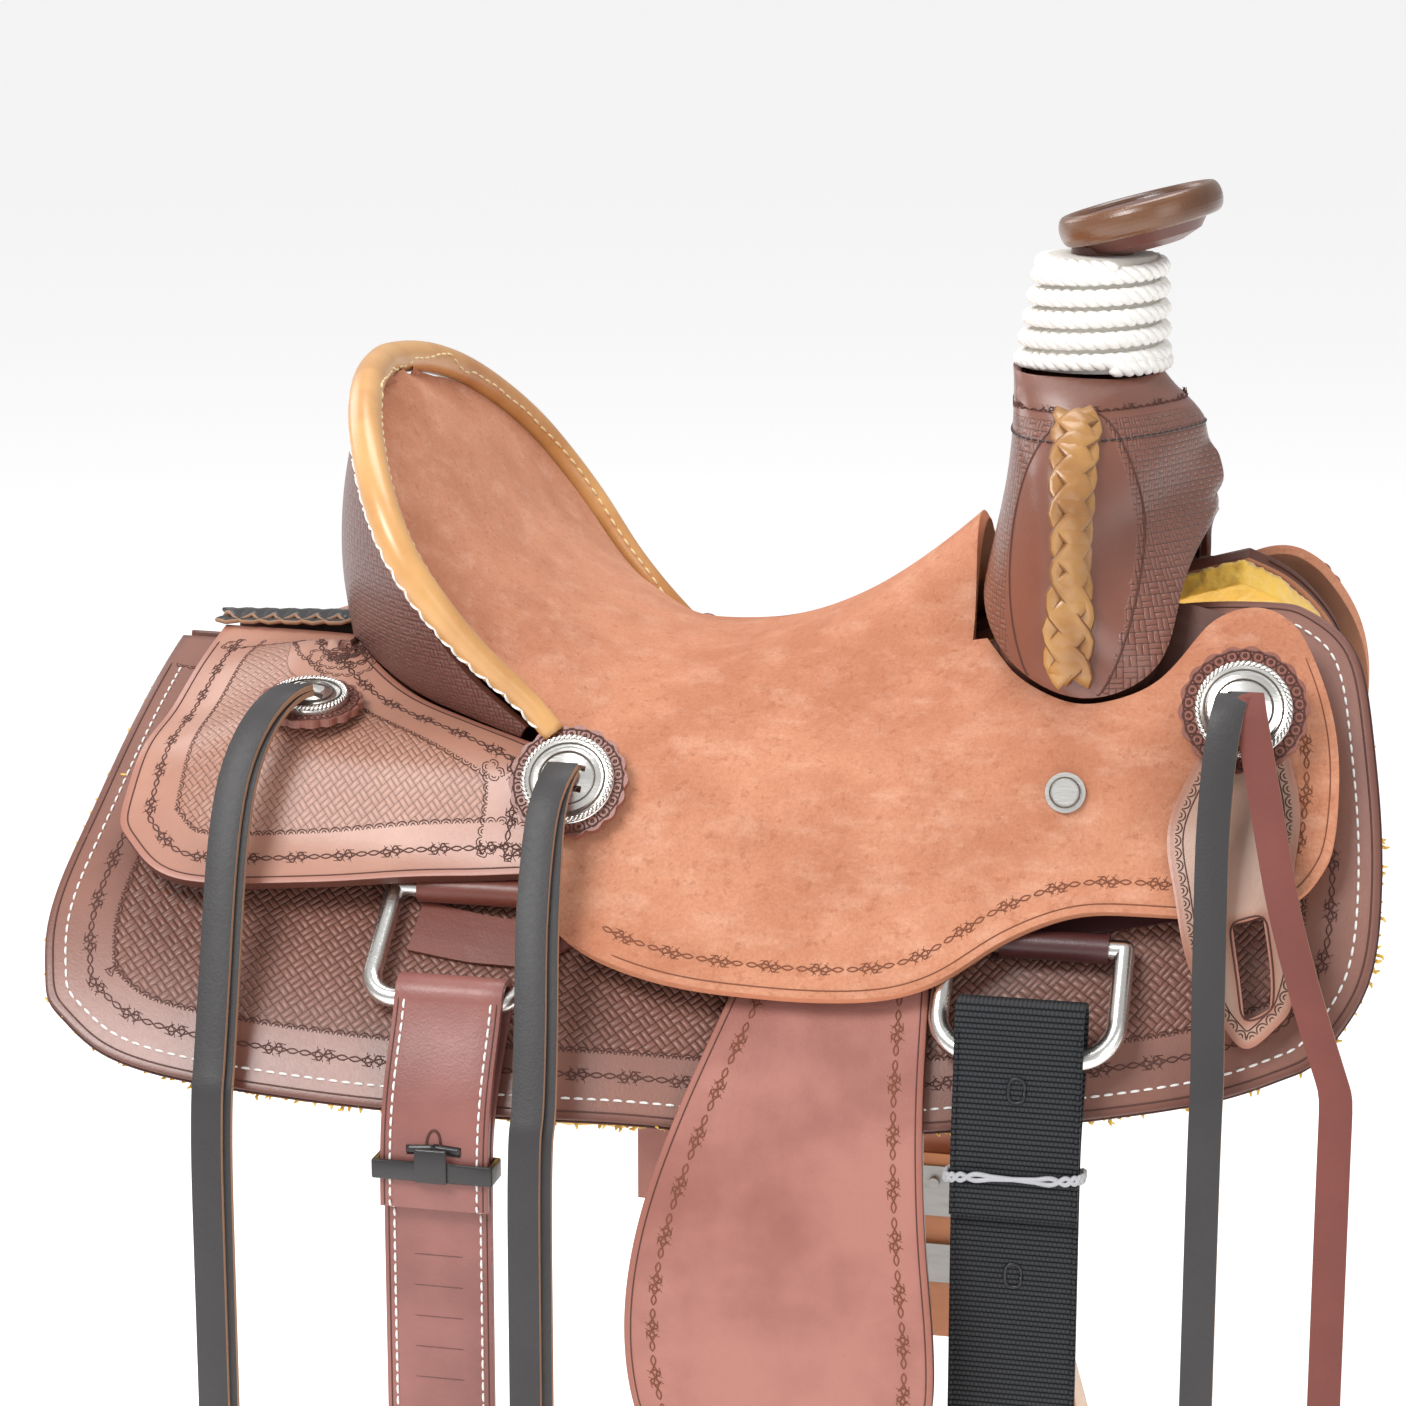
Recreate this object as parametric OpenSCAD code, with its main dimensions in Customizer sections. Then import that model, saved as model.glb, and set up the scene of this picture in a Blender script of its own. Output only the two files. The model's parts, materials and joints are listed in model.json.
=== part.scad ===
// Western ranch saddle, youth size, with rigging, fenders and stirrups.
// +X points to the horse's head, +Y to its near (left) side, +Z up.
// The origin is the crown of the channel that rests on the horse's back.
// Side leather is drawn on one curved flank: a point is (x, s, h), where s is
// the distance down the side from the ridge and h the height above the flank.

/* [Flank] */
// Height of the ridge line at the lowest point of the back
ridge_z = 13; // [10:1:20]
// How much the ridge rises towards the withers
ridge_rise = 90; // [80:1:105]
// Slope at the ridge behind the seat, degrees
ridge_slope = 17; // [14:1:20]
// Slope at the lower edge behind the seat, degrees
edge_slope = 56; // [52:1:60]

/* [Leather] */
// Thickness of the skirt leather
skirt_t = 5.5; // [4:0.5:6]
// Thickness of the seat and jockey leather
seat_t = 4.5; // [3.5:0.5:5]
// Thickness of the fleece lining
fleece_t = 12; // [8:1:14]
// Thickness of the fender and stirrup leather
fender_t = 3.6; // [3:0.2:4]
// Width of a saddle string
string_w = 12.7; // [10:0.1:15]
// Thickness of a saddle string
string_t = 2.6; // [2:0.1:3]

/* [Tree] */
// Thickness of a tree bar at its crown
bar_t = 20; // [16:1:22]
// Half height of the rawhide roll on the cantle rim
rim_r = 7.4; // [6:0.2:9]

/* [Horn] */
// Height of the horn cap's centre
cap_z = 216; // [212:1:220]
// Radius of the horn cap
cap_r = 34; // [31:1:37]
// Forward tilt of the horn cap, degrees
cap_tilt = 15; // [10:1:20]
// Number of rope rounds on the horn
wrap_turns = 6; // [4:1:8]

/* [Hardware] */
// Wire radius of the rigging dees
dee_wire = 4; // [3:0.5:4.5]
// Half width of a rigging dee
dee_w = 36; // [34:1:40]
// Height of a rigging dee
dee_h = 50; // [44:1:56]
// Radius of the two larger conchos
concho_r = 19; // [17:0.5:20]
// Length of the front billets below the dee
billet_drop = 240; // [180:5:260]
// Length of the doubled latigo below the dee
latigo_drop = 130; // [100:5:260]
// Width of the off billet and the latigo
billet_w = 50; // [44:1:52]
// Width of a rear billet
rear_w = 44; // [38:1:46]

/* [Stirrups] */
// Radius of the stirrup bolt
bolt_r = 4; // [3:0.5:5]
// Clear width inside the stirrup
stirrup_in = 112; // [100:1:120]
// Clear height inside the stirrup
stirrup_high = 122; // [110:1:130]
// Width of the tread
tread_w = 52; // [44:1:60]

/* [Hidden] */
off = -1;
near = 1;
gap = 0.4;
flank_len = 250;
fender_x = 89;

function sm(t) = let (u = min(1, max(0, t))) u * u * (3 - 2 * u);
function mix(a, b, t) = a * (1 - t) + b * t;
function unit(v) = v / norm(v);
function slope0(x) = ridge_slope + 27 * sm((x + 60) / 380) - 4 * max(0, (-60 - x) / 180);
function slope1(x) = edge_slope + 11 * sm((x + 60) / 380) - 3 * max(0, (-60 - x) / 180);
function ridge(x) = ridge_z + ridge_rise * sm((x - 15) / 300) + 3 * max(0, (-60 - x) / 180);
function bend(x) = (slope1(x) - slope0(x)) / flank_len;
function slope(x, s) = slope0(x) + bend(x) * s;

// a point of the flank: side is off (-1) or near (1)
function flank(x, s, h, side) =
    let (k = bend(x) * PI / 180, a = slope0(x), t = a + bend(x) * s)
    [x, side * ((sin(t) - sin(a)) / k + h * sin(t)), ridge(x) - (cos(a) - cos(t)) / k + h * cos(t)];
function flank_out(x, s, side) = [0, side * sin(slope(x, s)), cos(slope(x, s))];

// how far the tree bar lifts what lies over it
function bulge(x, s) = bar_t * sm((x + 215) / 60) * (1 - sm((x - 240) / 55))
    * sm((s - 12) / 33) * (1 - sm((s - 95) / 60));
function bar_top(x, s) = skirt_t + 2 + 0.86 * bulge(x, s);
function over_bar(x, s) = skirt_t + 3 + bulge(x, s);
function jockey_h(x, s) = over_bar(x, s) + 11 * sm((s - 70) / 45);
function flap_h(x, s) = over_bar(x, s) + 11 * sm((s - 60) / 60);

// smooth curve through the points p, for t from 0 to 1
function curve(p, t) =
    let (n = len(p) - 1, w = min(1, max(0, t)) * n, i = min(n - 1, floor(w)), u = w - i, b = p[i],
        c = p[i + 1],
         a = i > 0 ? p[i - 1] : 2 * b - c, d = i < n - 1 ? p[i + 2] : 2 * c - b)
    0.5 * (2 * b + (c - a) * u + (2 * a - 5 * b + 4 * c - d) * u * u + (3 * b - a - 3 * c + d) * u * u * u);

// a point inside four edge curves: in and out run front, rear and front run down
function inside(e, u, v) = let (a = e[0], b = e[1], c = e[2], d = e[3])
    mix(curve(a, u), curve(b, u), v) + mix(curve(c, v), curve(d, v), u)
    - mix(mix(a[0], a[len(a) - 1], u), mix(b[0], b[len(b) - 1], u), v);

// a closed sheet between two grids of points, on cells where keep(i, j) is true
// ring = true joins the last column to the first
module sheet(top, low, side = off, keep = undef, ring = false) {
    nr = len(top);
    nc = len(top[0]);
    function at(i, j) = i * nc + j % nc;
    function has(i, j) = i >= 0 && i < nr - 1 && (ring || (j >= 0 && j < nc - 1))
        && (is_undef(keep) || keep[i][j]);
    function turn(f) = side == off ? f : [for (k = [len(f) - 1:-1:0]) f[k]];
    m = nr * nc;
    cells = [for (i = [0:nr - 2], j = [0:nc - (ring ? 1 : 2)]) if (has(i, j)) [i, j]];
    faces = [for (c = cells, f =
        let (i = c[0], j = c[1], p = at(i, j), q = at(i + 1, j), r = at(i + 1, j + 1), t = at(i, j + 1))
        [
            [p, q, r], [p, r, t], [p + m, r + m, q + m], [p + m, t + m, r + m],
            if (!has(i - 1, j)) each [[p, t, t + m], [p, t + m, p + m]],
            if (!has(i + 1, j)) each [[r, q, q + m], [r, q + m, r + m]],
            if (!has(i, j - 1)) each [[q, p, p + m], [q, p + m, q + m]],
            if (!has(i, j + 1)) each [[t, r, r + m], [t, r + m, t + m]]
        ]) turn(f)];
    polyhedron(points = concat([for (r = top) each r], [for (r = low) each r]), faces = faces,
        convexity = 8);
}

// a flank sheet with edges e between heights lo(x, s) and hi(x, s)
module patch(e, nu, nv, side, lo, hi) {
    uv = [for (i = [0:nu]) [for (j = [0:nv]) inside(e, i / nu, j / nv)]];
    sheet([for (r = uv) [for (p = r) flank(p[0], p[1], hi(p[0], p[1]), side)]],
          [for (r = uv) [for (p = r) flank(p[0], p[1], lo(p[0], p[1]), side)]], side);
}

// a closed tube of rings, each ring a list of points
module rings(g) {
    n = len(g);
    m = len(g[0]);
    function at(i, j) = i * m + j % m;
    polyhedron(points = [for (r = g) each r], faces = concat(
        [[for (j = [0:m - 1]) j]], [[for (j = [m - 1:-1:0]) at(n - 1, j)]],
        [for (i = [0:n - 2], j = [0:m - 1]) each [[at(i, j), at(i + 1, j), at(i + 1, j + 1)],
                                                  [at(i, j), at(i + 1, j + 1), at(i, j + 1)]]]),
                                                      convexity = 6);
}

// turn children so that their z runs along n, standing at p
module stand(p, n, spin = 0) {
    x = unit(cross([0, 1, 0], n));
    y = cross(n, x);
    multmatrix([[x[0], y[0], n[0], p[0]], [x[1], y[1], n[1], p[1]], [x[2], y[2], n[2], p[2]], [0, 0, 0, 1]])
        rotate([0, 0, spin]) children();
}

// ---- outlines on the flank, as [inner, outer, rear, front] edges of [x, s] ----
skirt_edge = [
    [[-237, 4], [-120, 4], [-1, 6], [118, 16], [196, 30], [257, 49]],
    [[-229, 221], [-193, 242], [-117, 246], [-28, 242], [37, 236], [134, 243], [193, 251], [241, 253],
        [276, 245]],
    [[-237, 4], [-235, 61], [-235, 125], [-238, 182], [-229, 221]],
    [[257, 49], [281, 74], [291, 119], [297, 168], [295, 214], [276, 245]]];
// the near skirt reaches less far forward and higher towards the ridge
near_edge = [
    [[-237, 4], [-120, 4], [-1, 6], [118, 16], [196, 19], [232, 23]],
    [[-229, 221], [-193, 242], [-117, 246], [-28, 242], [37, 236], [134, 243], [193, 251], [241, 253],
        [272, 245]],
    [[-237, 4], [-235, 61], [-235, 125], [-238, 182], [-229, 221]],
    [[232, 23], [251, 50], [268, 90], [278, 140], [283, 190], [272, 245]]];
function skirt_edges(side) = side == off ? skirt_edge : near_edge;
bar_edge = [
    [[-202, 14], [-103, 13], [-3, 16], [116, 28], [192, 40], [241, 65]],
    [[-210, 128], [-115, 137], [-16, 137], [103, 138], [184, 137], [257, 145]],
    [[-202, 14], [-212, 72], [-210, 128]],
    [[241, 65], [261, 102], [257, 145]]];
jockey_edge = [
    [[-215, 6], [-160, 6], [-151, 12], [-138, 42], [-110, 69], [-75, 86], [-42, 100]],
    [[-213, 149], [-184, 170], [-128, 164], [-83, 155], [-38, 149]],
    [[-215, 6], [-216, 50], [-216, 101], [-213, 149]],
    [[-42, 100], [-37, 120], [-38, 149]]];

// ---- seat: centre line, shoulder line and lower edge, one entry per station ----
cantle_end = 8;
seat_end = 14;
seat_mid = [[-134, 141.7], [-127, 132.2], [-119, 120.5], [-108, 104.7], [-96, 88.8], [-83, 73.9], [-66,
    58.9], [-46, 44.9],
    [-20, 34.8], [5, 30.9], [30, 34.3], [55, 43.9], [80, 57.6], [104, 75.5], [121, 90.6]];
rim = [[-141.5, 0, 146], [-138.5, 27, 144], [-133.5, 52, 139], [-126.5, 76, 130], [-117.5, 97, 117],
    [-107, 115, 101],
    [-95, 126, 82], [-80, 127.5, 62], [-64, 122, 42], [-46, 116, 24], [-28.5, 119, 5]];
shoulder = [[-16, 102], [9, 95], [36, 86], [65, 75], [94, 62], [126, 41]];
fork_line = [[136, 49], [146, 65], [162, 82], [178, 93], [196, 94], [208, 89], [217, 77], [225, 66],
    [238, 63],
    [251, 67], [261, 76]];
flap_edge = [[-33, 151], [-26, 168], [-6, 180], [23, 185], [55, 187], [84, 190], [112, 192], [133, 188],
    [150, 179],
    [167, 174], [184, 173], [202, 177], [220, 182], [236, 185], [250, 185], [265, 184], [273, 177], [279,
        166]];

function rim_at(t, side) = let (p = curve(rim, t)) [p[0], side * p[1], p[2]];
function mid_at(u) = let (p = curve(seat_mid, u / seat_end)) [p[0], 0, p[1]];
function shoulder_at(u, side) = u <= cantle_end ? rim_at(0.06 + 0.94 * u / cantle_end, side)
    : let (p = curve(concat([[-28.5, 106]], shoulder, fork_line), (u - cantle_end) / 17))
        flank(p[0], p[1], flap_h(p[0], p[1]) + seat_t, side);
function shoulder_xs(u) = curve(concat([[-28.5, 106]], shoulder, fork_line), (u - cantle_end) / 17);
// the leather meets the rawhide roll a little inside the rim
function dish_edge(u, side) = let (f = shoulder_at(u, side), w = 8.6 * (1 - sm((u - 6.4) / 1.6)))
    f + w * unit([-100, 0, 62] - f);
// seat surface from the centre line (t = 0) out to the shoulder (t = 1)
function dish_at(u, t, side) =
    let (c = mid_at(u), f = dish_edge(u, side), w = sm((u - 5) / 3),
         x = u <= cantle_end ? -28.5 : shoulder_xs(u)[0], s = u <= cantle_end ? 106 : shoulder_xs(u)[1],
         d = [0, side * cos(slope(x, s)), -sin(slope(x, s))],
         b = c + [0, side * 0.45 * abs(f[1]), 0],
         e = mix(f - (f - c) * 0.35 + [-4, 0, 0], f - d * abs(f[1]) * 0.38, w))
    pow(1 - t, 3) * c + 3 * pow(1 - t, 2) * t * b + 3 * (1 - t) * t * t * e + pow(t, 3) * f;
// flap surface from the shoulder (t = 0) down to its edge (t = 1)
function flap_at(u, t, side) =
    let (a = shoulder_xs(u), b = curve(flap_edge, (u - cantle_end) / 17), p = mix(a, b, t),
         x = p[0] + 8 * sin(180 * t) * sm((u - 22) / 3))
    flank(x, p[1], flap_h(x, p[1]) + seat_t, side);

seat_n = 6;
flap_n = 5;
seat_rows = [for (u = [0:0.5:25]) u];
seat_cols = seat_n + flap_n;
// nearest station and column at which the seat sheet exists
function seat_at(u, c) = let (side = c < 0 ? near : off, a = abs(c))
    a <= seat_n && (u <= seat_end || a < seat_n) ? dish_at(min(u, seat_end), a / seat_n, side)
    : a == seat_n ? flap_at(u, 0, side) : flap_at(max(u, cantle_end), (a - seat_n) / flap_n, side);
function seat_has(u, c) = let (a = min(abs(c), abs(c + 1)))
    u < cantle_end ? a < seat_n : u < seat_end ? true : a >= seat_n;
function seat_rows_of(c) = abs(c) < seat_n ? [0, seat_end] : abs(c) > seat_n ? [cantle_end, 25] : [0, 25];
function seat_lo(u, c) = let (a = abs(c), lo = u > seat_end && a >= seat_n ? seat_n : 0,
    hi = u < cantle_end ? seat_n : seat_cols) [max(lo, a - 0.5), min(hi, a + 0.5)];
function seat_out(v, c) = let (r = seat_rows_of(c), u = min(max(v, r[0]), r[1]), k = seat_lo(u, c),
    g = c < 0 ? -1 : 1,
    du = surf(min(u + 0.25, r[1]), c) - surf(max(u - 0.25, r[0]), c),
    dc = c == 0 ? surf(u, 0.5) - surf(u, -0.5) : (surf(u, g * k[1]) - surf(u, g * k[0])) * g)
    unit(cross(dc, du));
function surf(u, c) = seat_at(u, c);
function seat_sheet(deep) = [for (u = seat_rows) [for (c = [-seat_cols:seat_cols]) seat_at(u,
    c) - deep * seat_out(u, c)]];

module seat_leather() {
    color([0.64, 0.33, 0.22])
        sheet(seat_sheet(0), seat_sheet(seat_t), off,
            [for (u = seat_rows) [for (c = [-seat_cols:seat_cols - 1]) seat_has(u, c)]]);
}

module ground_seat() {
    rows = [for (u = [9.5:0.5:13.5]) [for (c = [-3.6:0.9:3.6]) u_deep(u, c, seat_t + gap)]];
    lows = [for (u = [9.5:0.5:13.5]) [for (c = [-3.6:0.9:3.6]) u_deep(u, c, seat_t + 5.5)]];
    color([0.78, 0.68, 0.5]) sheet(rows, lows);
}
function u_deep(u, c, deep) = seat_at(u, c) - deep * seat_out(u, c);

// ---- cantle ----
back_line = [[-153.5, 2], [-149.5, 16], [-138, 42], [-109.5, 68], [-75, 85.5], [-38.5, 102]];
function back_foot(t, side) = let (p = curve(back_line, t)) flank(p[0], p[1], jockey_h(p[0],
    p[1]) + seat_t + gap, side);
// back of the cantle from the rim (v = 0) to the jockeys (v = 1), t as on the rim
function back_at(t, v, side) =
    let (a = rim_at(t, side), b = back_foot(t, side), n = [-cos(65 * t), side * sin(65 * t), 0])
    mix(a, b, v) + n * (9 * (1 - 0.7 * t) * sin(180 * v) + 2 * (1 - t));
function back_out(t, v, side) = let (d = back_at(min(1, t + 0.02), v, side) - back_at(max(0, t - 0.02),
    v, side),
    e = back_at(t, min(1, v + 0.05), side) - back_at(t, max(0, v - 0.05), side)) side * unit(cross(d, e));
function back_pt(c, v, deep) = let (t = abs(c), side = c < 0 ? near : off)
    t == 0 ? back_at(0, v, off) + [deep, 0, 0] : back_at(t, v, side) - deep * back_out(t, v, side);
function back_start(t) = 0.09 + 0.4 * sm((t - 0.55) / 0.45);
back_cols = [for (i = [-16:16]) i / 16 * 0.93];
module cantle_back() {
    function grid(deep) = [for (k = [0:6]) [for (c = back_cols) let (v0 = back_start(abs(c)))
        back_pt(c, v0 + (0.985 - v0) * k / 6, deep)]];
    color([0.3, 0.13, 0.1]) sheet(grid(3.2), grid(0));
}
module cantle_binding() {
    n = 44;
    function p(i) = let (w = -0.965 + 1.93 * i / n) rim_at(abs(w), w < 0 ? near : off);
    color([0.72, 0.5, 0.2]) rings([for (i = [0:n]) let (a = p(i), w = abs(-0.965 + 1.93 * i / n),
        d = unit(p(min(n, i + 1)) - p(max(0, i - 1))), n1 = unit(cross(d, [0.45, 0, 0.9])), n2 = cross(d,
            n1),
        r = rim_r * (1 - 0.3 * sm((w - 0.6) / 0.36)))
        [for (k = [0:9]) a + r * (cos(36 * k) * n1 + sin(36 * k) * n2)]]);
}
module tree_cantle() {
    function row(u) = [for (c = [-5:5]) u_deep(u, c * 0.86, seat_t + gap)];
    function low(u) = [for (c = [-5:5]) let (a = abs(c) / 5 * 0.72, t = (0.06 + 0.94 * u / cantle_end) * a)
        back_pt(sign(c) * t, mix(0.12 + 0.75 * u / cantle_end, 0.4, a * a), 3.8)];
    color([0.85, 0.72, 0.5]) sheet([for (u = [2:0.75:8]) row(u)], [for (u = [2:0.75:8]) low(u)]);
}

// ---- fork: half rings from the rear centre round the off side to the front centre ----
fork_rings = [
    [[130, 0, 83], [128, 45, 64], [144, 80, 43], [177, 100, 32], [208, 92, 46], [212, 58, 76], [222, 0,
        97]],
    [[133, 0, 100], [133, 50, 86], [148, 84, 72], [165, 101, 66], [177, 90, 76], [196, 52, 95], [222, 0,
        110]],
    [[135, 0, 118], [138, 50, 111], [150, 80, 103], [164, 95, 99], [179, 78, 105], [200, 43, 116], [218,
        0, 122]],
    [[136, 0, 135], [139, 42, 132], [148, 66, 129], [164, 78, 127], [183, 62, 129], [202, 33, 132], [214,
        0, 135]],
    [[134, 0, 146], [137, 27, 145], [143, 44, 145], [160, 53, 144], [177, 44, 145], [192, 25, 145], [203,
        0, 145]],
    [[133, 0, 153], [136, 18, 153], [144, 28, 152], [160, 33, 152], [178, 28, 151], [189, 17, 151], [197,
        0, 152]]];
fork_n = 12;
function fork_at(w, v) =
    let (m = w > 1 ? 2 - w : w, g = w > 1 ? 1 : -1, p = curve([for (r = fork_rings) curve(r, m)],
        v)) [p[0], g * p[1], p[2]];
function fork_out(w, v) = let (e = 0.02, w0 = (w - e + 2) % 2, w1 = (w + e) % 2)
    unit(cross(fork_at(w1, v) - fork_at(w0, v), fork_at(w, min(1, v + e)) - fork_at(w, max(0, v - e))));
function fork_pt(w, v, deep) = fork_at(w, v) - deep * fork_out(w, v);
function fork_grid(deep, vs) = [for (v = vs) [for (j = [0:2 * fork_n - 1]) fork_pt(j / fork_n, v, deep)]];
fork_vs = [for (i = [0:10]) i / 10];
module fork_cover() { color([0.32, 0.15, 0.11]) sheet(fork_grid(0, fork_vs), fork_grid(3.4, fork_vs),
    ring = true); }
// distance down the flank at which the top of a tree bar is y away from the centre
function bar_s(x, y, s = 60, n = 5) = n == 0 ? s
    : bar_s(x, y, s + (y - flank(x, s, bar_top(x, s), near)[1]) / cos(slope(x, s)), n - 1);
function on_bar(x, y) = let (s = bar_s(x, y)) flank(x, s, bar_top(x, s) + 1.6, near)[2];
module tree_fork() {
    top = fork_grid(4.4, [0.04, 0.2, 0.4, 0.6, 0.8, 1]);
    n = 2 * fork_n;
    nr = len(top);
    arm = [0.94, 0.87, 0.79, 0.7, 0.62, 0.5, 0.35, 0.18];
    span = concat(-arm, [0], [for (i = [len(arm) - 1:-1:0]) arm[i]]);
    ns = len(span);
    foot_s = [0, 30, 44, 56, 66, 78, 84, 86, 85, 80, 68, 44, 0];
    foot = [for (j = [0:fork_n]) let (p = top[0][j]) j == 0 || j == fork_n ? p
        : let (x = p[0], s = foot_s[j]) s < 50 ? p - [0, 0, 3] : flank(x, s, bar_top(x, s) + 1.4, off)];
    // rings from the feet upwards, the near side mirrored
    ring0 = [for (j = [0:n - 1]) let (k = j <= fork_n ? j : n - j) [foot[k][0],
        (j <= fork_n ? 1 : -1) * foot[k][1], foot[k][2]]];
    arch = [for (k = [1:fork_n - 1]) for (q = span) let (p = foot[k], y = abs(p[1]), low = foot_s[k] < 50,
        r = mix(foot[0][2], foot[fork_n][2], k / fork_n) - 3, b = low ? p[2] : on_bar(p[0], abs(q) * y),
        c = low ? p[2] : on_bar(p[0], 0.62 * y),
        z = abs(q) < 0.62 ? max(b, mix(c, max(c + 1, r), sqrt(1 - pow(q / 0.62, 2)))) : b) [p[0],
            -q * p[1], z]];
    pts = concat(ring0, [for (r = top) each r], arch);
    a0 = n * (nr + 1);
    function ar(k, m) = m < 0 ? n - k : m >= ns ? k : a0 + (k - 1) * ns + (ns - 1 - m);
    faces = concat(
        [for (i = [0:nr - 1], j = [0:n - 1]) let (a = i * n + j, b = i * n + (j + 1) % n) each [[a,
            a + n, b + n], [a, b + n, b]]],
        [[for (j = [n - 1:-1:0]) nr * n + j]],
        [for (k = [1:fork_n - 2], m = [-1:ns - 1]) each [[ar(k, m), ar(k, m + 1), ar(k + 1, m + 1)],
                                                       [ar(k, m), ar(k + 1, m + 1), ar(k + 1, m)]]],
        [for (m = [-1:ns - 1]) each [[0, ar(1, m + 1), ar(1, m)], [fork_n, ar(fork_n - 1, m),
            ar(fork_n - 1, m + 1)]]]);
    color([0.85, 0.72, 0.5]) polyhedron(points = pts, faces = faces, convexity = 8);
}
// braided thong down each swell
module fork_lacing() {
    color([0.62, 0.38, 0.14]) for (side = [off,
        near]) rings([for (v = [0.05:0.075:0.66]) let (w = side == off ? 0.5 : 1.5,
        a = fork_pt(w - 0.045, v, -0.3), b = fork_pt(w + 0.045, v, -0.3), c = fork_pt(w, v, -4.2),
            n = fork_out(w, v))
        [a, a + 2.4 * n, c, b + 2.4 * n, b, fork_pt(w, v, -0.3)]]);
}

// ---- horn ----
module horn() { color([0.5, 0.5, 0.52]) translate([166, 0, 152.4]) rotate([0, 4, 0]) cylinder(h = 50,
    r = 13, $fn = 48); }
wrap_h = 47;
module horn_wrap() {
    turn_h = wrap_h / wrap_turns;
    color([0.93, 0.91, 0.86]) translate([166, 0, 152.8]) rotate([0, 4,
        0]) rotate_extrude($fn = 48) polygon(concat(
        [[13.4, 0]], [for (i = [0:wrap_turns - 1], a = [-70:28:70]) let (z = (i + 0.5) * turn_h)
            [33.4 - 7 * z / wrap_h - turn_h * 0.3 + turn_h * 0.5 * cos(a), z + turn_h * 0.5 * sin(a)]],
                [[13.4, wrap_h]]));
}
module cap_frame() { translate([184.5, 0, cap_z]) rotate([0, -cap_tilt, 0]) children(); }
module horn_cap() {
    color([0.36, 0.13, 0.1]) cap_frame() rotate_extrude($fn = 64)
        polygon([[0, -14], [15, -14], [23, -11], [cap_r - 6.4, -5], [cap_r - 6.4, 4], [0, 5.5]]);
}
module horn_cap_rim() {
    color([0.55, 0.36, 0.14]) cap_frame() rotate_extrude($fn = 64) translate([cap_r - 3,
        0]) polygon([for (a = [0:15:345]) [3.3 * cos(a), 6.3 * sin(a)]]);
}

// ---- skirts, fleece, bars, jockeys, rigging plates ----
module skirt(side) { color([0.42, 0.2, 0.15]) patch(skirt_edges(side), 30, 14, side, function (x, s) 0,
    function (x, s) skirt_t); }
module fleece(side) {
    color([0.86, 0.6, 0.16]) patch([for (e = skirt_edges(side)) [for (p = e) p + [sign(p[0]) * -2,
        p[1] < 10 ? 1 : p[1] > 200 ? -3 : 0]]], 20, 10, side,
        function (x, s) -fleece_t, function (x, s) -0.6);
}
module tree_bar(side) { color([0.85, 0.72, 0.5]) patch(bar_edge, 18, 8, side, function (x,
    s) skirt_t + gap, bar_top_f); }
bar_top_f = function (x, s) bar_top(x, s);
module rear_jockey(side) {
    color([0.48, 0.25, 0.19]) patch(jockey_edge, 16, 12, side, function (x, s) jockey_h(x, s),
        function (x, s) jockey_h(x, s) + seat_t);
}

// ---- conchos, rosettes, screws and the latigo keeper ----
// [x, s, rosette radius, concho radius, 1 when it sits on the seat flap, height over the leather]
concho_places = [[-143, 93, 22, 16, 0, 2.6], [-26, 116, 24.5, concho_r, 1, 2.6], [242, 112, 25.5,
    concho_r, 1, 5]];
screw_place = [174, 126];
function top_at(x, s, flap, side) = flank(x, s, (flap == 1 ? flap_h(x, s) : jockey_h(x, s)) + seat_t, side);
function top_out(x, s, flap, side) = -side * unit(cross(top_at(x, s + 4, flap, side) - top_at(x, s - 4,
    flap, side),
    top_at(x + 4, s, flap, side) - top_at(x - 4, s, flap, side)));
module on_top(c, side) { stand(top_at(c[0], c[1], c[4], side), top_out(c[0], c[1], c[4],
    side)) children(); }
module each_concho() { for (side = [off, near], c = concho_places) on_top(c, side) { $c = c; children(); } }
module rosettes() {
    color([0.45, 0.2, 0.14]) each_concho() translate([0, 0, $c[5]]) linear_extrude(3.2)
        polygon([for (i = [0:119]) let (r = $c[2] - 1.6 + 1.6 * abs(sin(i * 27))) r * [cos(3 * i),
            sin(3 * i)]]);
}
module conchos() {
    color([0.8, 0.8, 0.78]) each_concho() translate([0, 0, $c[5] + 3.3]) difference() {
        rotate_extrude($fn = 72) polygon([[0, 0], [$c[3], 0], [$c[3], 1.4], [$c[3] - 2, 3.2], [$c[3] - 5,
            2.4], [6, 5], [0, 5.6]]);
        for (y = [-4.5, 4.5]) translate([-7, y - 1.3, -1]) cube([14, 2.6, 9]);
    }
}
module seat_screws() {
    color([0.8, 0.8, 0.78]) for (side = [off, near])
        stand(top_at(screw_place[0], screw_place[1], 1, side), top_out(screw_place[0], screw_place[1], 1,
            side)) {
            translate([0, 0, 0.9]) cylinder(h = 1, r = 8, $fn = 48);
            translate([0, 0, 1.9]) cylinder(h = 2.2, r = 5, $fn = 48);
        }
}
keeper_edge = [
    [[228, 121], [243, 120], [258, 123]], [[239, 224], [251, 237], [266, 226]],
    [[228, 121], [215, 147], [220, 176], [227, 203], [239, 224]],
    [[258, 123], [266, 150], [265, 179], [270, 207], [266, 226]]];
function keeper_h(x, s) = mix(flap_h(x, s) + seat_t + 1.2, 13, sm((s - 190) / 44));
module latigo_keeper(side) {
    nu = 8;
    nv = 16;
    uv = [for (i = [0:nu]) [for (j = [0:nv]) inside(keeper_edge, i / nu, j / nv)]];
    function grid(t) = [for (r = uv) [for (q = r) flank(q[0], q[1], keeper_h(q[0], q[1]) + t, side)]];
    color([0.5, 0.27, 0.2]) sheet(grid(3), grid(0), side,
        [for (i = [0:nu - 1]) [for (j = [0:nv - 1]) !((i == 4 || i == 5) && j >= 9 && j <= 13)]]);
}
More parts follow.
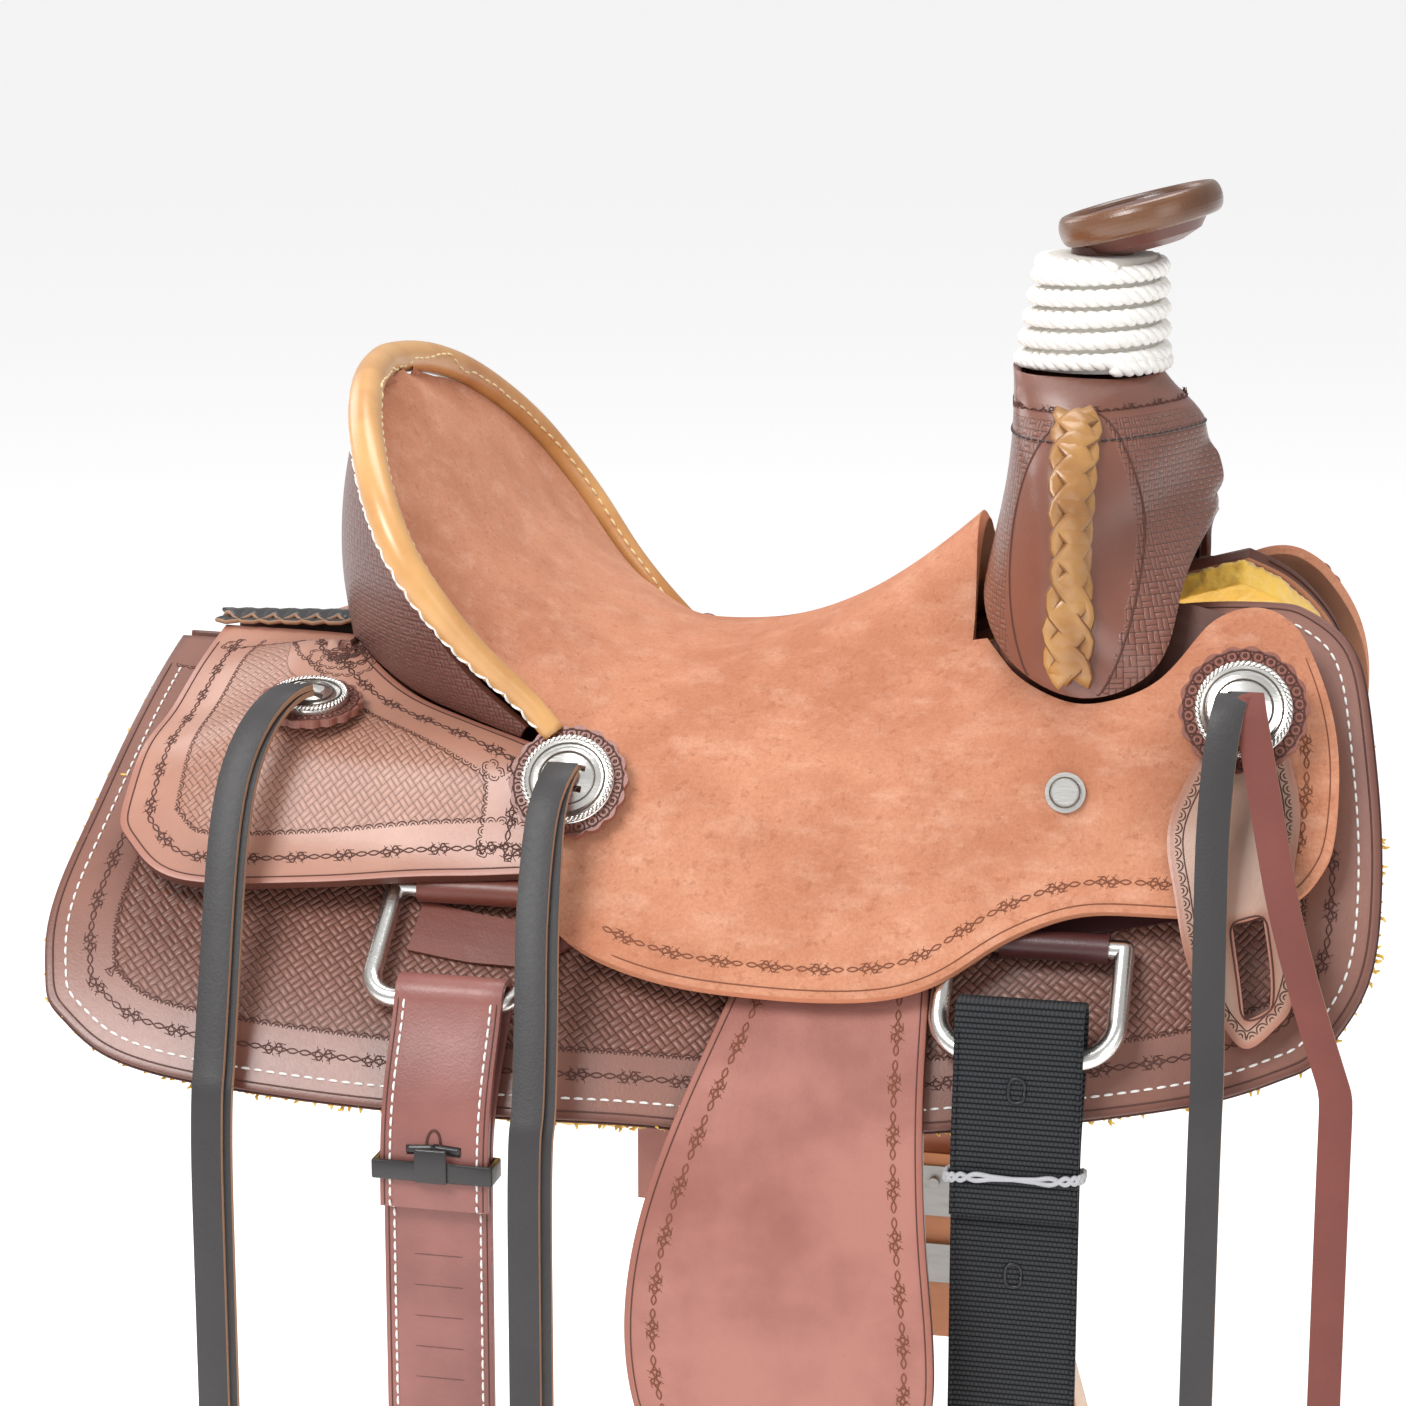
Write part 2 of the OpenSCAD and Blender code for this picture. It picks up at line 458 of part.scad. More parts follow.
module jockey_lacing() {
    color([0.1, 0.1, 0.1]) for (i = [0:7]) let (x = -216 + i * 7.6) translate([x, 0, flank(x, 8,
        jockey_h(x, 8) + seat_t, off)[2] + 4.6])
        rotate([0, 4, 0]) rotate([0, 90, 0]) linear_extrude(6.6) polygon([for (a = [0:30:330]) [3.4
            * sin(a), 12.5 * cos(a)]]);
}

// ---- rigging dees and the rolls that hold their bars ----
// [x, s, height of the dee, half width, degrees it stands off the flank, corner radius]
rear_dee_at = [-63.5, 152, dee_h + 12, dee_w, 2.2, 12];
front_dee_at = [166, 178, dee_h + 5.4, dee_w + 3, 4.2, 16];
dee_lift = skirt_t + gap + 7.3;
function dee_pos(d, side) = flank(d[0], d[1], dee_lift, side);
function dee_down(d, side) = let (a = slope(d[0], d[1]) - d[4]) [0, side * cos(a), -sin(a)];
function dee_tip(d, side) = dee_pos(d, side) + (d[2] - 2 * dee_wire) * dee_down(d, side);
// x of the children runs down the flank, y towards the front
module down_flank(p, v) {
    n = cross(v, [1, 0, 0]);
    multmatrix([[v[0], 1, n[0], p[0]], [v[1], 0, n[1], p[1]], [v[2], 0, n[2], p[2]], [0, 0, 0,
        1]]) children();
}
module dee(d, side) {
    w = d[3] - dee_wire;
    r = d[5];
    drop = d[2] - 2 * dee_wire;
    color([0.78, 0.78, 0.76]) down_flank(dee_pos(d, side), dee_down(d, side)) {
        rotate([90, 0, 0]) cylinder(h = 2 * w, r = dee_wire, center = true, $fn = 32);
        for (g = [-1, 1]) translate([0, g * w, 0]) {
            sphere(r = dee_wire, $fn = 32);
            rotate([0, 90, 0]) cylinder(h = drop - r, r = dee_wire, $fn = 32);
        }
        for (g = [0, 1]) mirror([0, g, 0]) translate([drop - r, w - r, 0])
            rotate_extrude(angle = 90, $fn = 64) translate([r, 0]) circle(r = dee_wire, $fn = 32);
        translate([drop, 0, 0]) rotate([90, 0, 0]) cylinder(h = 2 * (w - r), r = dee_wire, center = true,
            $fn = 32);
    }
}
rear_rig_edge = [
    [[-84, 156], [-50, 160], [-12, 162]],
    [[-86, 179], [-60, 181], [-34, 181]],
    [[-84, 156], [-86, 179]],
    [[-12, 162], [-34, 181]]];
front_rig_edge = [
    [[147, 152], [188, 153], [234, 156]],
    [[149, 178], [186, 177], [228, 180]],
    [[147, 152], [149, 178]],
    [[234, 156], [228, 180]]];
module rigging(e, d, len, wall, side, shift = 0) {
    color([0.4, 0.12, 0.08]) {
        patch(e, 8, 3, side, function (x, s) skirt_t + gap, function (x, s) skirt_t + gap + 1.6);
        translate(dee_pos(d, side) + [shift, 0, 0]) rotate([0, 90, 0]) difference() {
            cylinder(h = len, r = dee_wire + gap + wall, center = true, $fn = 48);
            cylinder(h = len + 2, r = dee_wire + gap, center = true, $fn = 48);
        }
    }
}

// ---- straps: a ribbon of width w along x follows centre points [x, y, z] ----
module ribbon(p, w, t, side) {
    n = len(p);
    rings([for (i = [0:n - 1]) let (a = p[max(0, i - 1)], b = p[min(n - 1, i + 1)], d = unit([0,
        b[1] - a[1], b[2] - a[2]]),
        m = [0, -d[2], d[1]] * t / 2, x = [w / 2, 0, 0]) [p[i] - x - m, p[i] - x + m, p[i] + x + m,
            p[i] + x - m]]);
}
// a strap looped over a dee, from its free end up, over the fold and down again;
// yz holds the bar's place and the inner and outer run below it, as [y, z]
function loop_path(x, side, top, r, inner, outer) = let (c = [inner[0][0] + r, top - r])
    [for (q = concat([for (i = [len(outer) - 1:-1:0]) outer[i]],
        [for (a = [0:30:180]) c + r * [cos(a), sin(a)]], inner)) [x, side * q[0], q[1]]];
front_inner = [[158.3, -80.5], [161.3, -98.3], [168.5, -112.3], [174, -125.3], [175.5, -138.3]];
front_outer = [[173.5, -80.5], [175, -102.3], [179, -126.3], [179.8, -156.3]];
rear_inner = [[174, -82.2], [178, -89.7], [191.5, -105.7], [203.5, -126.7], [206.6, -139.7]];
rear_outer = [[189, -82.2], [193, -91.7], [203, -107.7], [211, -129.7], [211.6, -159.7]];
module front_strap(side, t, tail) {
    y = front_inner[4][0];
    ribbon(loop_path(front_dee_at[0] - 1, side, -72.5, 7.6, concat(front_inner, [[y, -200], [y, tail]]),
        front_outer), billet_w, t, side);
}
module off_billet() { color([0.06, 0.06, 0.06]) front_strap(off, 2.6, -96 - billet_drop); }
module latigo() { color([0.42, 0.22, 0.14]) front_strap(near, 2.6, -96 - latigo_drop); }
module billet_band() {
    color([0.5, 0.52, 0.54]) translate([front_dee_at[0] - 1, off * 177.6, -139.3]) difference() {
        cube([billet_w + 6, 12, 5], center = true);
        cube([billet_w + 0.8, 9, 7], center = true);
    }
}
module rear_billet(side) {
    y = rear_inner[4][0];
    color([0.42, 0.2, 0.16]) ribbon(loop_path(rear_dee_at[0] + 4, side, -74.4, 7.5, concat(rear_inner,
        [[y, -220], [y, -310]]), rear_outer), rear_w, 3, side);
}
module billet_keeper(side) {
    color([0.08, 0.08, 0.08]) translate([rear_dee_at[0] + 4, side * 208.8, -143.7]) {
        difference() {
            cube([rear_w + 5.6, 13.4, 8], center = true);
            cube([rear_w + 0.8, 9, 10], center = true);
        }
        translate([0, side * 7.5, 3]) cube([13, 1.6, 14], center = true);
    }
}

// ---- fenders, stirrup leathers and stirrups ----
drape_s = 225;
drop_rate = 0.45;
// like flank(), but below drape_s the leather turns down until it hangs
function drape(x, s, h, side) = s <= drape_s ? flank(x, s, h, side)
    : let (bx = mix(x, fender_x, sm((s - drape_s) / 110)), a = slope(bx, drape_s), p = flank(bx, drape_s,
        0, near),
        turn = min(89 - a, drop_rate * (s - drape_s)), t = a + turn, k = drop_rate * PI / 180,
            rest = s - drape_s - turn / drop_rate)
    [x, side * (p[1] + (sin(t) - sin(a)) / k + rest * cos(t) + h * sin(t)),
        p[2] - (cos(a) - cos(t)) / k - rest * sin(t) + h * cos(t)];
fender_line = [[143, 58, 120], [166, 52, 124], [191, 45, 126], [232, 33, 128], [272, 21, 132],
    [308, 15, 137], [339, 16, 138], [366, 25, 131], [389, 43, 122], [402, 52, 113]];
strap_w = 62;
leather_h = skirt_t + 0.9;
fender_h = leather_h + 2.6 + gap;
bolt_s = 468;
module fender(side) {
    n = 22;
    rows = [for (i = [0:n]) curve(fender_line, i / n)];
    function grid(h) = [for (j = [0:8]) [for (r = rows) drape(mix(r[1], r[2], j / 8), r[0], h, side)]];
    color([0.44, 0.23, 0.18]) sheet(grid(fender_h + fender_t), grid(fender_h), side);
}
function strap_pt(s, side) = drape(fender_x, s, leather_h + 1.3, side);
bolt_at = strap_pt(bolt_s, near) + [0, -(bolt_r + 0.4 + 1.3), 0];
module stirrup_leather(side) {
    r = bolt_r + 0.4 + 1.3;
    down = [for (s = [142:18:bolt_s - 1]) strap_pt(s, side)];
    turn = [for (a = [0:-30:-180]) [fender_x, side * (bolt_at[1] + r * cos(a)), bolt_at[2] + r * sin(a)]];
    up = [[fender_x, side * (bolt_at[1] - r), bolt_at[2] + 40], [fender_x, side * (bolt_at[1] - r),
        bolt_at[2] + 92]];
    n = 8;
    // above the free hang the strap follows the flank across its width
    top = [for (s = [142:16:drape_s + 110]) s];
    function cross_grid(h) = [for (j = [0:4]) [for (s = top) drape(fender_x - strap_w / 2 + strap_w
        * j / 4, s, h, side)]];
    color([0.4, 0.2, 0.15]) {
        sheet(cross_grid(leather_h + 2.6), cross_grid(leather_h), side);
        ribbon(concat([strap_pt(drape_s + 110.1, side)], [for (s = [350:20:bolt_s - 8]) strap_pt(s,
            side)], turn, up), strap_w, 2.6, side);
    }
}
module stirrup_bolt(side) {
    x = strap_w / 2 + 3;
    color([0.7, 0.7, 0.7]) translate([fender_x, side * bolt_at[1], bolt_at[2]]) rotate([0, 90, 0]) {
        cylinder(h = 2 * x, r = bolt_r, center = true, $fn = 32);
        for (g = [-1, 1]) translate([0, 0, g * (x + 12.2)]) cylinder(h = 4, r = 8, center = true, $fn = 6);
    }
}
// outline of the stirrup opening from the near top of one arm round to the other
stirrup_line = [[-39, 8], [-41, -4], [-50, -38], [-57, -74], [-58, -104], [-52, -120], [-26, -124], [0,
    -124.5],
    [26, -124], [52, -120], [58, -104], [57, -74], [50, -38], [41, -4], [39, 8]];
module stirrup(side) {
    n = 34;
    k = stirrup_in / 112;
    hk = stirrup_high / 122;
    color([0.55, 0.33, 0.2]) translate([fender_x, side * bolt_at[1],
        bolt_at[2]]) rings([for (i = [0:n]) let (t = i / n,
        a = curve(stirrup_line, t), b = curve(stirrup_line, min(1, t + 0.01)), c = curve(stirrup_line,
            max(0, t - 0.01)),
        d = unit([b[0] - c[0], b[1] - c[1]]), o = 10 * [d[1], -d[0]] * -1, w = mix(13, tread_w / 2,
            sm((-a[1] - 10) / 95)),
        p = [a[0] * k, a[1] * hk], q = p - o)
        [[p[0], -w, p[1]], [q[0], -w, q[1]], [q[0], w, q[1]], [p[0], w, p[1]]]]);
}
plate_z = 73;
module buckle_plate(side) {
    y = bolt_at[1] - bolt_r - 0.4 - 2.6;
    color([0.7, 0.7, 0.7]) {
        translate([fender_x, side * (y - gap - 0.8), bolt_at[2] + plate_z]) cube([strap_w - 8, 1.6, 26],
            center = true);
        for (g = [-1, 1]) translate([fender_x + g * 14, side * (y - gap - 1.6),
            bolt_at[2] + plate_z + 5]) rotate([side * 90, 0, 0])
            cylinder(h = 3, r = 2.6, $fn = 24);
    }
}
module buckle_sleeve(side) {
    a = bolt_at[1] + bolt_r + 0.4 + 2.6;
    b = bolt_at[1] - bolt_r - 0.4 - 2.6;
    lo = b - 2.6;
    hi = a + 0.9;
    color([0.75, 0.75, 0.75]) translate([fender_x, side * (lo + hi) / 2, bolt_at[2] + 36]) difference() {
        cube([strap_w + 5, hi - lo + 3, 20], center = true);
        cube([strap_w + 1.4, hi - lo, 24], center = true);
    }
}

// ---- saddle strings, two strands each, as [x, s, h] down to the hang ----
rear_string = [[-144, 96, 56], [-148, 104, 60], [-154, 119, 60], [-159, 140, 52], [-158, 170, 40], [-155,
    203, 28], [-152, 239, 19],
    [-151, 251, 18]];
mid_string = [[-26, 118, 54], [-27, 127, 57], [-29, 139, 55], [-29, 157, 48], [-27, 182, 41], [-23, 212,
    34], [-20, 243, 28],
    [-20, 253, 27]];
front_string = [[239, 112, 57.5], [237, 120, 59], [235, 136, 54], [234, 161, 43], [235, 189, 36], [236,
    220, 28], [237, 246, 21],
    [237, 255, 19]];
front_string_2 = [[244, 112, 57], [246, 121, 57], [250, 137, 50], [256, 162, 41], [263, 191, 35], [273,
    222, 27], [282, 247, 20],
    [286, 258, 18]];
function string_path(p, lift, dx, z_end, side) =
    let (a = [for (i = [0:2 * (len(p) - 1)]) let (q = curve(p,
        i / 2 / (len(p) - 1))) flank(q[0] + dx * sm(i / 8), q[1], q[2] + lift, side)],
         e = a[len(a) - 1])
    concat(a, [for (d = [12, 30, 60, 100]) if (e[2] - d > z_end + 8) e + [0, side * min(3, d / 8), -d]],
        [[e[0], e[1] + side * 3, z_end]]);
module string(p, q, lift, dx, ends, side) {
    color([0.12, 0.1, 0.1]) {
        ribbon(string_path(p, 0, 0, ends[0], side), string_w, string_t, side);
        ribbon(string_path(q, lift, dx, ends[1], side), string_w, string_t, side);
    }
}
module string_rear(side) { string(rear_string, rear_string, -3.2, 3, [-262, -250], side); }
module string_mid(side) { string(mid_string, mid_string, -3.2, 4, [-270, -258], side); }
function tuck(p, side) = [for (q = p) [side == near ? min(q[0], 256) : q[0], q[1], q[2]]];
module string_front(side) {
    string(front_string, tuck(front_string_2, side), 0, 0, side == near ? [-128, -120] : [-262, -268],
        side);
}

tree_bar(off);  // tree_bar_off
tree_bar(near);  // tree_bar_near
tree_fork();
tree_cantle();
ground_seat();
horn();
horn_wrap();
horn_cap();
horn_cap_rim();
fork_cover();
fork_lacing();
seat_leather();
cantle_back();
cantle_binding();
rear_jockey(off);  // rear_jockey_off
rear_jockey(near);  // rear_jockey_near
jockey_lacing();
skirt(off);  // skirt_off
skirt(near);  // skirt_near
fleece(off);  // fleece_off
fleece(near);  // fleece_near
rigging(front_rig_edge, front_dee_at, 43, 1.5, off, 7.5);  // rigging_front_off
rigging(front_rig_edge, front_dee_at, 43, 1.5, near,  // rigging_front_near
    7.5);
rigging(rear_rig_edge, rear_dee_at, 44, 1.5, off);  // rigging_rear_off
rigging(rear_rig_edge, rear_dee_at, 44, 1.5, near);  // rigging_rear_near
rosettes();
conchos();
seat_screws();
latigo_keeper(off);  // latigo_keeper_off
latigo_keeper(near);  // latigo_keeper_near
dee(front_dee_at, off);  // front_dee_off
dee(front_dee_at, near);  // front_dee_near
dee(rear_dee_at, off);  // rear_dee_off
dee(rear_dee_at, near);  // rear_dee_near
off_billet();
billet_band();
latigo();
rear_billet(off);  // rear_billet_off
rear_billet(near);  // rear_billet_near
billet_keeper(off);  // billet_keeper_off
billet_keeper(near);  // billet_keeper_near
fender(off);  // fender_off
fender(near);  // fender_near
stirrup_leather(off);  // stirrup_leather_off
stirrup_leather(near);  // stirrup_leather_near
stirrup(off);  // stirrup_off
stirrup(near);  // stirrup_near
stirrup_bolt(off);  // stirrup_bolt_off
stirrup_bolt(near);  // stirrup_bolt_near
buckle_plate(off);  // buckle_plate_off
buckle_plate(near);  // buckle_plate_near
buckle_sleeve(off);  // buckle_sleeve_off
buckle_sleeve(near);  // buckle_sleeve_near
string_rear(off);  // string_rear_off
string_rear(near);  // string_rear_near
string_mid(off);  // string_mid_off
string_mid(near);  // string_mid_near
string_front(off);  // string_front_off
string_front(near);  // string_front_near
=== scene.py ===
import json
import math
import random

import bmesh
import bpy
import numpy as np
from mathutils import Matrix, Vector, noise
from mathutils.bvhtree import BVHTree
from mathutils.kdtree import KDTree

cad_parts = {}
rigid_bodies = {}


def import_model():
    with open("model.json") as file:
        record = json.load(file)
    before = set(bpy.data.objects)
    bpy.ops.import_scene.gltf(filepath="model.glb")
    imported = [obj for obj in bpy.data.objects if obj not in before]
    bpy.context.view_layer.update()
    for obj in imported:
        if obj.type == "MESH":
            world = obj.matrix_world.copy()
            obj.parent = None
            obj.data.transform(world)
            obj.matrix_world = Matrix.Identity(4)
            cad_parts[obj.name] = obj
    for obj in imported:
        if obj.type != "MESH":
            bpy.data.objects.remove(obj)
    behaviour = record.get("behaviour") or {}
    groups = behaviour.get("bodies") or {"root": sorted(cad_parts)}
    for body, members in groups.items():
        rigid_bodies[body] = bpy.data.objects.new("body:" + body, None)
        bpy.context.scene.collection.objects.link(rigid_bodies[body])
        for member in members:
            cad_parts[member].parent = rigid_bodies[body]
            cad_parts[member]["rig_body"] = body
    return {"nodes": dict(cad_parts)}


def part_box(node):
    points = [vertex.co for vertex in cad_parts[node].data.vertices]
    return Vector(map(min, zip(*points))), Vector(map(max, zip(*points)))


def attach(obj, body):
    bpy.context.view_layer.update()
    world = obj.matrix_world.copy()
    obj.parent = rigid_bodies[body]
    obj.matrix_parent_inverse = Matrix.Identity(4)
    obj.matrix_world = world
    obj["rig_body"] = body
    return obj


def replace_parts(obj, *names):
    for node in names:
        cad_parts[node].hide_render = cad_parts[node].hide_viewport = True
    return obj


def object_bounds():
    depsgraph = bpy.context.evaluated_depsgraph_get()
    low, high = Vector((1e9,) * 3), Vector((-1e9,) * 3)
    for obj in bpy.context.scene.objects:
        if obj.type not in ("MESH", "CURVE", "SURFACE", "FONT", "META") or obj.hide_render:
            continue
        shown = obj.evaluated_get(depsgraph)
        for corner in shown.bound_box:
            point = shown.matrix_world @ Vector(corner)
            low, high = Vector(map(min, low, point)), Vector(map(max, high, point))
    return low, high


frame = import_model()

# Everything is in metres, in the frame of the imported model: +X to the horse's
# head, +Y to its near side, +Z up. The photographed side is the off side.
random.seed(7)
NODES = frame["nodes"]
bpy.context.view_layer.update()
SIDES = (("off", -1), ("near", 1))


# ---- colour and shader helpers ----
def new_node(tree, kind, inputs):
    """A shader node with each input set to a number or linked to a socket."""
    node = tree.nodes.new(kind)
    for key, v in inputs.items():
        v = v.socket if isinstance(v, Value) else v
        if isinstance(v, bpy.types.NodeSocket):
            tree.links.new(v, node.inputs[key])
        else:
            node.inputs[key].default_value = v
    return node


class Value:
    """A shader socket that takes part in plain arithmetic."""

    def __init__(self, tree, socket):
        self.tree, self.socket = tree, socket

    def op(self, kind, *others):
        node = new_node(self.tree, "ShaderNodeMath", dict(enumerate((self, *others))))
        node.operation = kind
        return Value(self.tree, node.outputs[0])

    def __add__(self, v): return self.op("ADD", v)
    def __sub__(self, v): return self.op("SUBTRACT", v)
    def __mul__(self, v): return self.op("MULTIPLY", v)
    def __truediv__(self, v): return self.op("DIVIDE", v)
    def flip(self): return self.op("MULTIPLY_ADD", -1.0, 1.0)
    def sin(self): return self.op("SINE")
    def fract(self): return self.op("FRACT")
    def floor(self): return self.op("FLOOR")
    def abs(self): return self.op("ABSOLUTE")
    def power(self, v): return self.op("POWER", v)

    def ramp(self, low, high):
        """0 below low, 1 above high, smooth between."""
        node = new_node(self.tree, "ShaderNodeMapRange", {"Value": self, "From Min": low, "From Max": high})
        node.interpolation_type = "SMOOTHSTEP"
        return Value(self.tree, node.outputs["Result"])


class Shader:
    """A principled material under construction."""

    def __init__(self, name, **sockets):
        self.material = bpy.data.materials.new(name)
        self.material.use_nodes = True
        self.tree = self.material.node_tree
        self.bsdf = self.tree.nodes["Principled BSDF"]
        for key, v in sockets.items():
            self.bsdf.inputs[key.replace("_", " ")].default_value = v
        coords = self.tree.nodes.new("ShaderNodeTexCoord")
        self.place = coords.outputs["Object"]

    def noise(self, scale, detail=3.0, rough=0.55, stretch=None):
        place = self.place
        if stretch:
            mapping = {"Scale": stretch, "Vector": place}
            place = new_node(self.tree, "ShaderNodeMapping", mapping).outputs["Vector"]
        node = new_node(self.tree, "ShaderNodeTexNoise",
                        {"Scale": scale, "Detail": detail, "Roughness": rough, "Vector": place})
        return Value(self.tree, node.outputs["Fac"])

    def cells(self, scale):
        node = new_node(self.tree, "ShaderNodeTexVoronoi", {"Scale": scale, "Vector": self.place})
        return Value(self.tree, node.outputs["Distance"])

    def attribute(self, name):
        node = self.tree.nodes.new("ShaderNodeAttribute")
        node.attribute_name = name
        return Value(self.tree, node.outputs["Fac"])

    def axes(self, uv=None):
        """The parts of a UV map, or of the place in the frame."""
        source = self.place
        if uv:
            node = self.tree.nodes.new("ShaderNodeUVMap")
            node.uv_map = uv
            source = node.outputs["UV"]
        split = new_node(self.tree, "ShaderNodeSeparateXYZ", {0: source})
        return [Value(self.tree, o) for o in split.outputs]

    def mix(self, factor, a, b):
        node = self.tree.nodes.new("ShaderNodeMix")
        node.data_type = "RGBA"
        for key, v in ((0, factor), (6, a), (7, b)):
            if isinstance(v, Value):
                self.tree.links.new(v.socket, node.inputs[key])
            elif key:
                node.inputs[key].default_value = (*v, 1)
            else:
                node.inputs[key].default_value = v
        return Value(self.tree, node.outputs[2])

    def set(self, key, v):
        self.tree.links.new(v.socket, self.bsdf.inputs[key])

    def bump(self, height, depth, strength=1.0):
        node = new_node(self.tree, "ShaderNodeBump",
                        {"Distance": depth, "Strength": strength, "Height": height})
        last = self.bsdf.inputs["Normal"]
        if last.is_linked:
            self.tree.links.new(last.links[0].from_socket, node.inputs["Normal"])
        self.tree.links.new(node.outputs[0], last)


def basket(shader, pitch, uv="Flank"):
    """Height of a basket stamp, 0 in its lines to 1 on its bars: pairs of bars that turn by cell."""
    x, y, _ = shader.axes(uv)
    if uv == "Wrap":
        a, b = x / pitch, y / pitch
    else:
        a, b = (x + y) / (pitch * 1.414), (x - y) / (pitch * 1.414)
    odd = ((a.floor() + b.floor()) * 0.5).fract() * 2.0
    fa, fb = a.fract(), b.fract()
    across = fa * odd.flip() + fb * odd
    along = fb * odd.flip() + fa * odd
    bars = (across * (math.pi * 2)).sin().abs().power(0.4)
    ends = (along * math.pi).sin().op("MAXIMUM", 0.0).power(0.28)
    return bars * ends


def leather(name, colour, deep, rough=0.42, pitch=0, border=0.0, grain=1.0, mottled=0.35,
            burnt=None, coat=0.15, uv="Flank", sheen=0.0, depth=0.0009):
    """Smooth or basket-stamped leather. border is the plain band inside the edge."""
    s = Shader(name, Roughness=rough, Coat_Weight=coat, Coat_Roughness=0.25, Sheen_Weight=sheen,
               Sheen_Roughness=0.5)
    cloud = s.noise(22.0, 4.0).ramp(0.32, 0.72)
    pore = s.noise(420.0, 4.0, 0.7)
    base = s.mix(cloud * mottled, colour, deep)
    base = s.mix(pore.ramp(0.62, 0.8) * 0.35, base, deep)
    if pitch:
        height = basket(s, pitch, uv)
        where = s.attribute("edge").ramp(border, border + 0.0006) if border else None
        # The stamp's lines and pits are darkened to a third of the deep colour: partly the pressed leather's
        # own darker tone, partly painted shade in the recesses.
        pits = height.ramp(0.12, 0.55).flip() * 0.85
        if where:
            height, pits = height * where, pits * where
        base = s.mix(pits, base, [c * 0.30 for c in deep])
        s.bump(height, depth, 1.0)
    if burnt:
        near = s.attribute("edge").ramp(0.0, 0.005).flip()
        base = s.mix(near * 0.8, base, burnt)
    s.set("Base Color", base)
    s.set("Roughness", pore * 0.18 + (rough - 0.08))
    s.bump(s.cells(900.0) * 0.6 + pore, 0.00012 * grain, 0.6)
    return s.material


def suede(name, colour, deep, pale):
    """Roughout leather: napped, mottled and dull."""
    s = Shader(name, Roughness=0.92, Sheen_Weight=0.35, Sheen_Roughness=0.45, Specular_IOR_Level=0.2)
    s.bsdf.inputs["Sheen Tint"].default_value = (*pale, 1)
    blotch = s.noise(16.0, 5.0, 0.6).ramp(0.36, 0.68)
    rub = s.noise(55.0, 5.0, 0.65, (1.0, 1.0, 2.2)).ramp(0.45, 0.75)
    nap = s.noise(700.0, 3.0, 0.75)
    speck = s.noise(230.0, 3.0, 0.7).ramp(0.55, 0.70)
    base = s.mix(blotch * 0.5, colour, deep)
    base = s.mix(rub * 0.35, base, pale)
    base = s.mix(speck * 0.35, base, deep)
    base = s.mix(nap.ramp(0.3, 0.7) * 0.25, base, [c * 0.72 for c in deep])
    s.set("Base Color", base)
    s.bump(nap + speck * 0.5, 0.0004, 0.7)
    return s.material


def plain(name, colour, rough=0.5, metal=0.0, bump=0.0, scale=600.0, **more):
    s = Shader(name, Roughness=rough, Metallic=metal, **more)
    dust = s.noise(scale * 0.15, 3.0)
    s.set("Base Color", s.mix(dust.ramp(0.3, 0.8) * 0.3, colour, [c * 0.72 for c in colour]))
    if bump:
        s.bump(s.noise(scale, 3.0), bump, 0.7)
    return s.material


def metal(name, colour, rough, brushed=0.0):
    s = Shader(name, Metallic=1.0, Roughness=rough)
    streak = s.noise(60.0, 3.0, 0.6, (1.0, 6.0, 6.0))
    s.set("Base Color", s.mix(streak.ramp(0.4, 0.8) * 0.35, colour, [c * 0.7 for c in colour]))
    s.set("Roughness", streak * 0.15 + rough)
    if brushed:
        s.bump(s.noise(900.0, 2.0, 0.6, (0.15, 1.0, 1.0)), brushed, 0.5)
    return s.material


def webbing(name, rib=0.0021, yarn=0.0017):
    """Ribbed nylon webbing: rows across, fine yarn ends along."""
    s = Shader(name, Roughness=0.8, Specular_IOR_Level=0.2)
    x, _, z = s.axes()
    row = (z / rib * math.pi).sin().abs().power(0.6)
    shift = ((z / rib).floor() * 0.5).fract() * 2.0
    end = ((x / yarn + shift * 0.5) * math.pi).sin().abs().power(0.7)
    height = row * (end * 0.45 + 0.55)
    # The low parts between ribs and yarn ends are darkened almost to black: painted shade.
    s.set("Base Color", s.mix(height.ramp(0.25, 0.9), (0.004, 0.004, 0.005), (0.040, 0.042, 0.046)))
    s.bump(height + s.noise(1500.0) * 0.2, 0.0007, 0.9)
    return s.material


SUEDE = suede("seat_suede", (0.60, 0.270, 0.160), (0.34, 0.110, 0.052), (0.78, 0.47, 0.34))
SUEDE_EDGE = plain("suede_edge", (0.70, 0.28, 0.15), 0.85, bump=0.0004, scale=1800.0)
FLESH = plain("flesh_side", (0.42, 0.19, 0.11), 0.9, bump=0.0003, scale=700.0)
EDGE = leather("burnished_edge", (0.12, 0.038, 0.024), (0.06, 0.018, 0.012), 0.42, coat=0.15)
SKIRT = leather("skirt_leather", (0.25, 0.105, 0.074), (0.13, 0.045, 0.030), 0.38, 0.0052, 0.0285,
                coat=0.3, burnt=(0.12, 0.036, 0.024), depth=0.0011)
JOCKEY = leather("jockey_leather", (0.47, 0.235, 0.165), (0.29, 0.115, 0.075), 0.42, 0.0044, 0.0235,
                 coat=0.3, burnt=(0.36, 0.13, 0.09), depth=0.0008)
CANTLE = leather("cantle_leather", (0.17, 0.062, 0.048), (0.08, 0.028, 0.022), 0.36, 0.0040,
                 uv="Wrap", coat=0.25, depth=0.0008)
FORK = leather("fork_leather", (0.22, 0.080, 0.052), (0.10, 0.030, 0.018), 0.34, 0.0042,
               0.001, uv="Wrap", coat=0.5, depth=0.0008)
KEEPER = leather("keeper_leather", (0.50, 0.32, 0.24), (0.33, 0.17, 0.12), 0.4,
                 burnt=(0.36, 0.13, 0.08))
FENDER = leather("fender_leather", (0.41, 0.165, 0.130), (0.26, 0.085, 0.064), 0.62, coat=0.02,
                 mottled=0.8, grain=2.0, burnt=(0.30, 0.10, 0.065), sheen=0.25)
BILLET = leather("billet_leather", (0.30, 0.115, 0.098), (0.17, 0.055, 0.045), 0.42, grain=1.5,
                 mottled=0.6, coat=0.1)
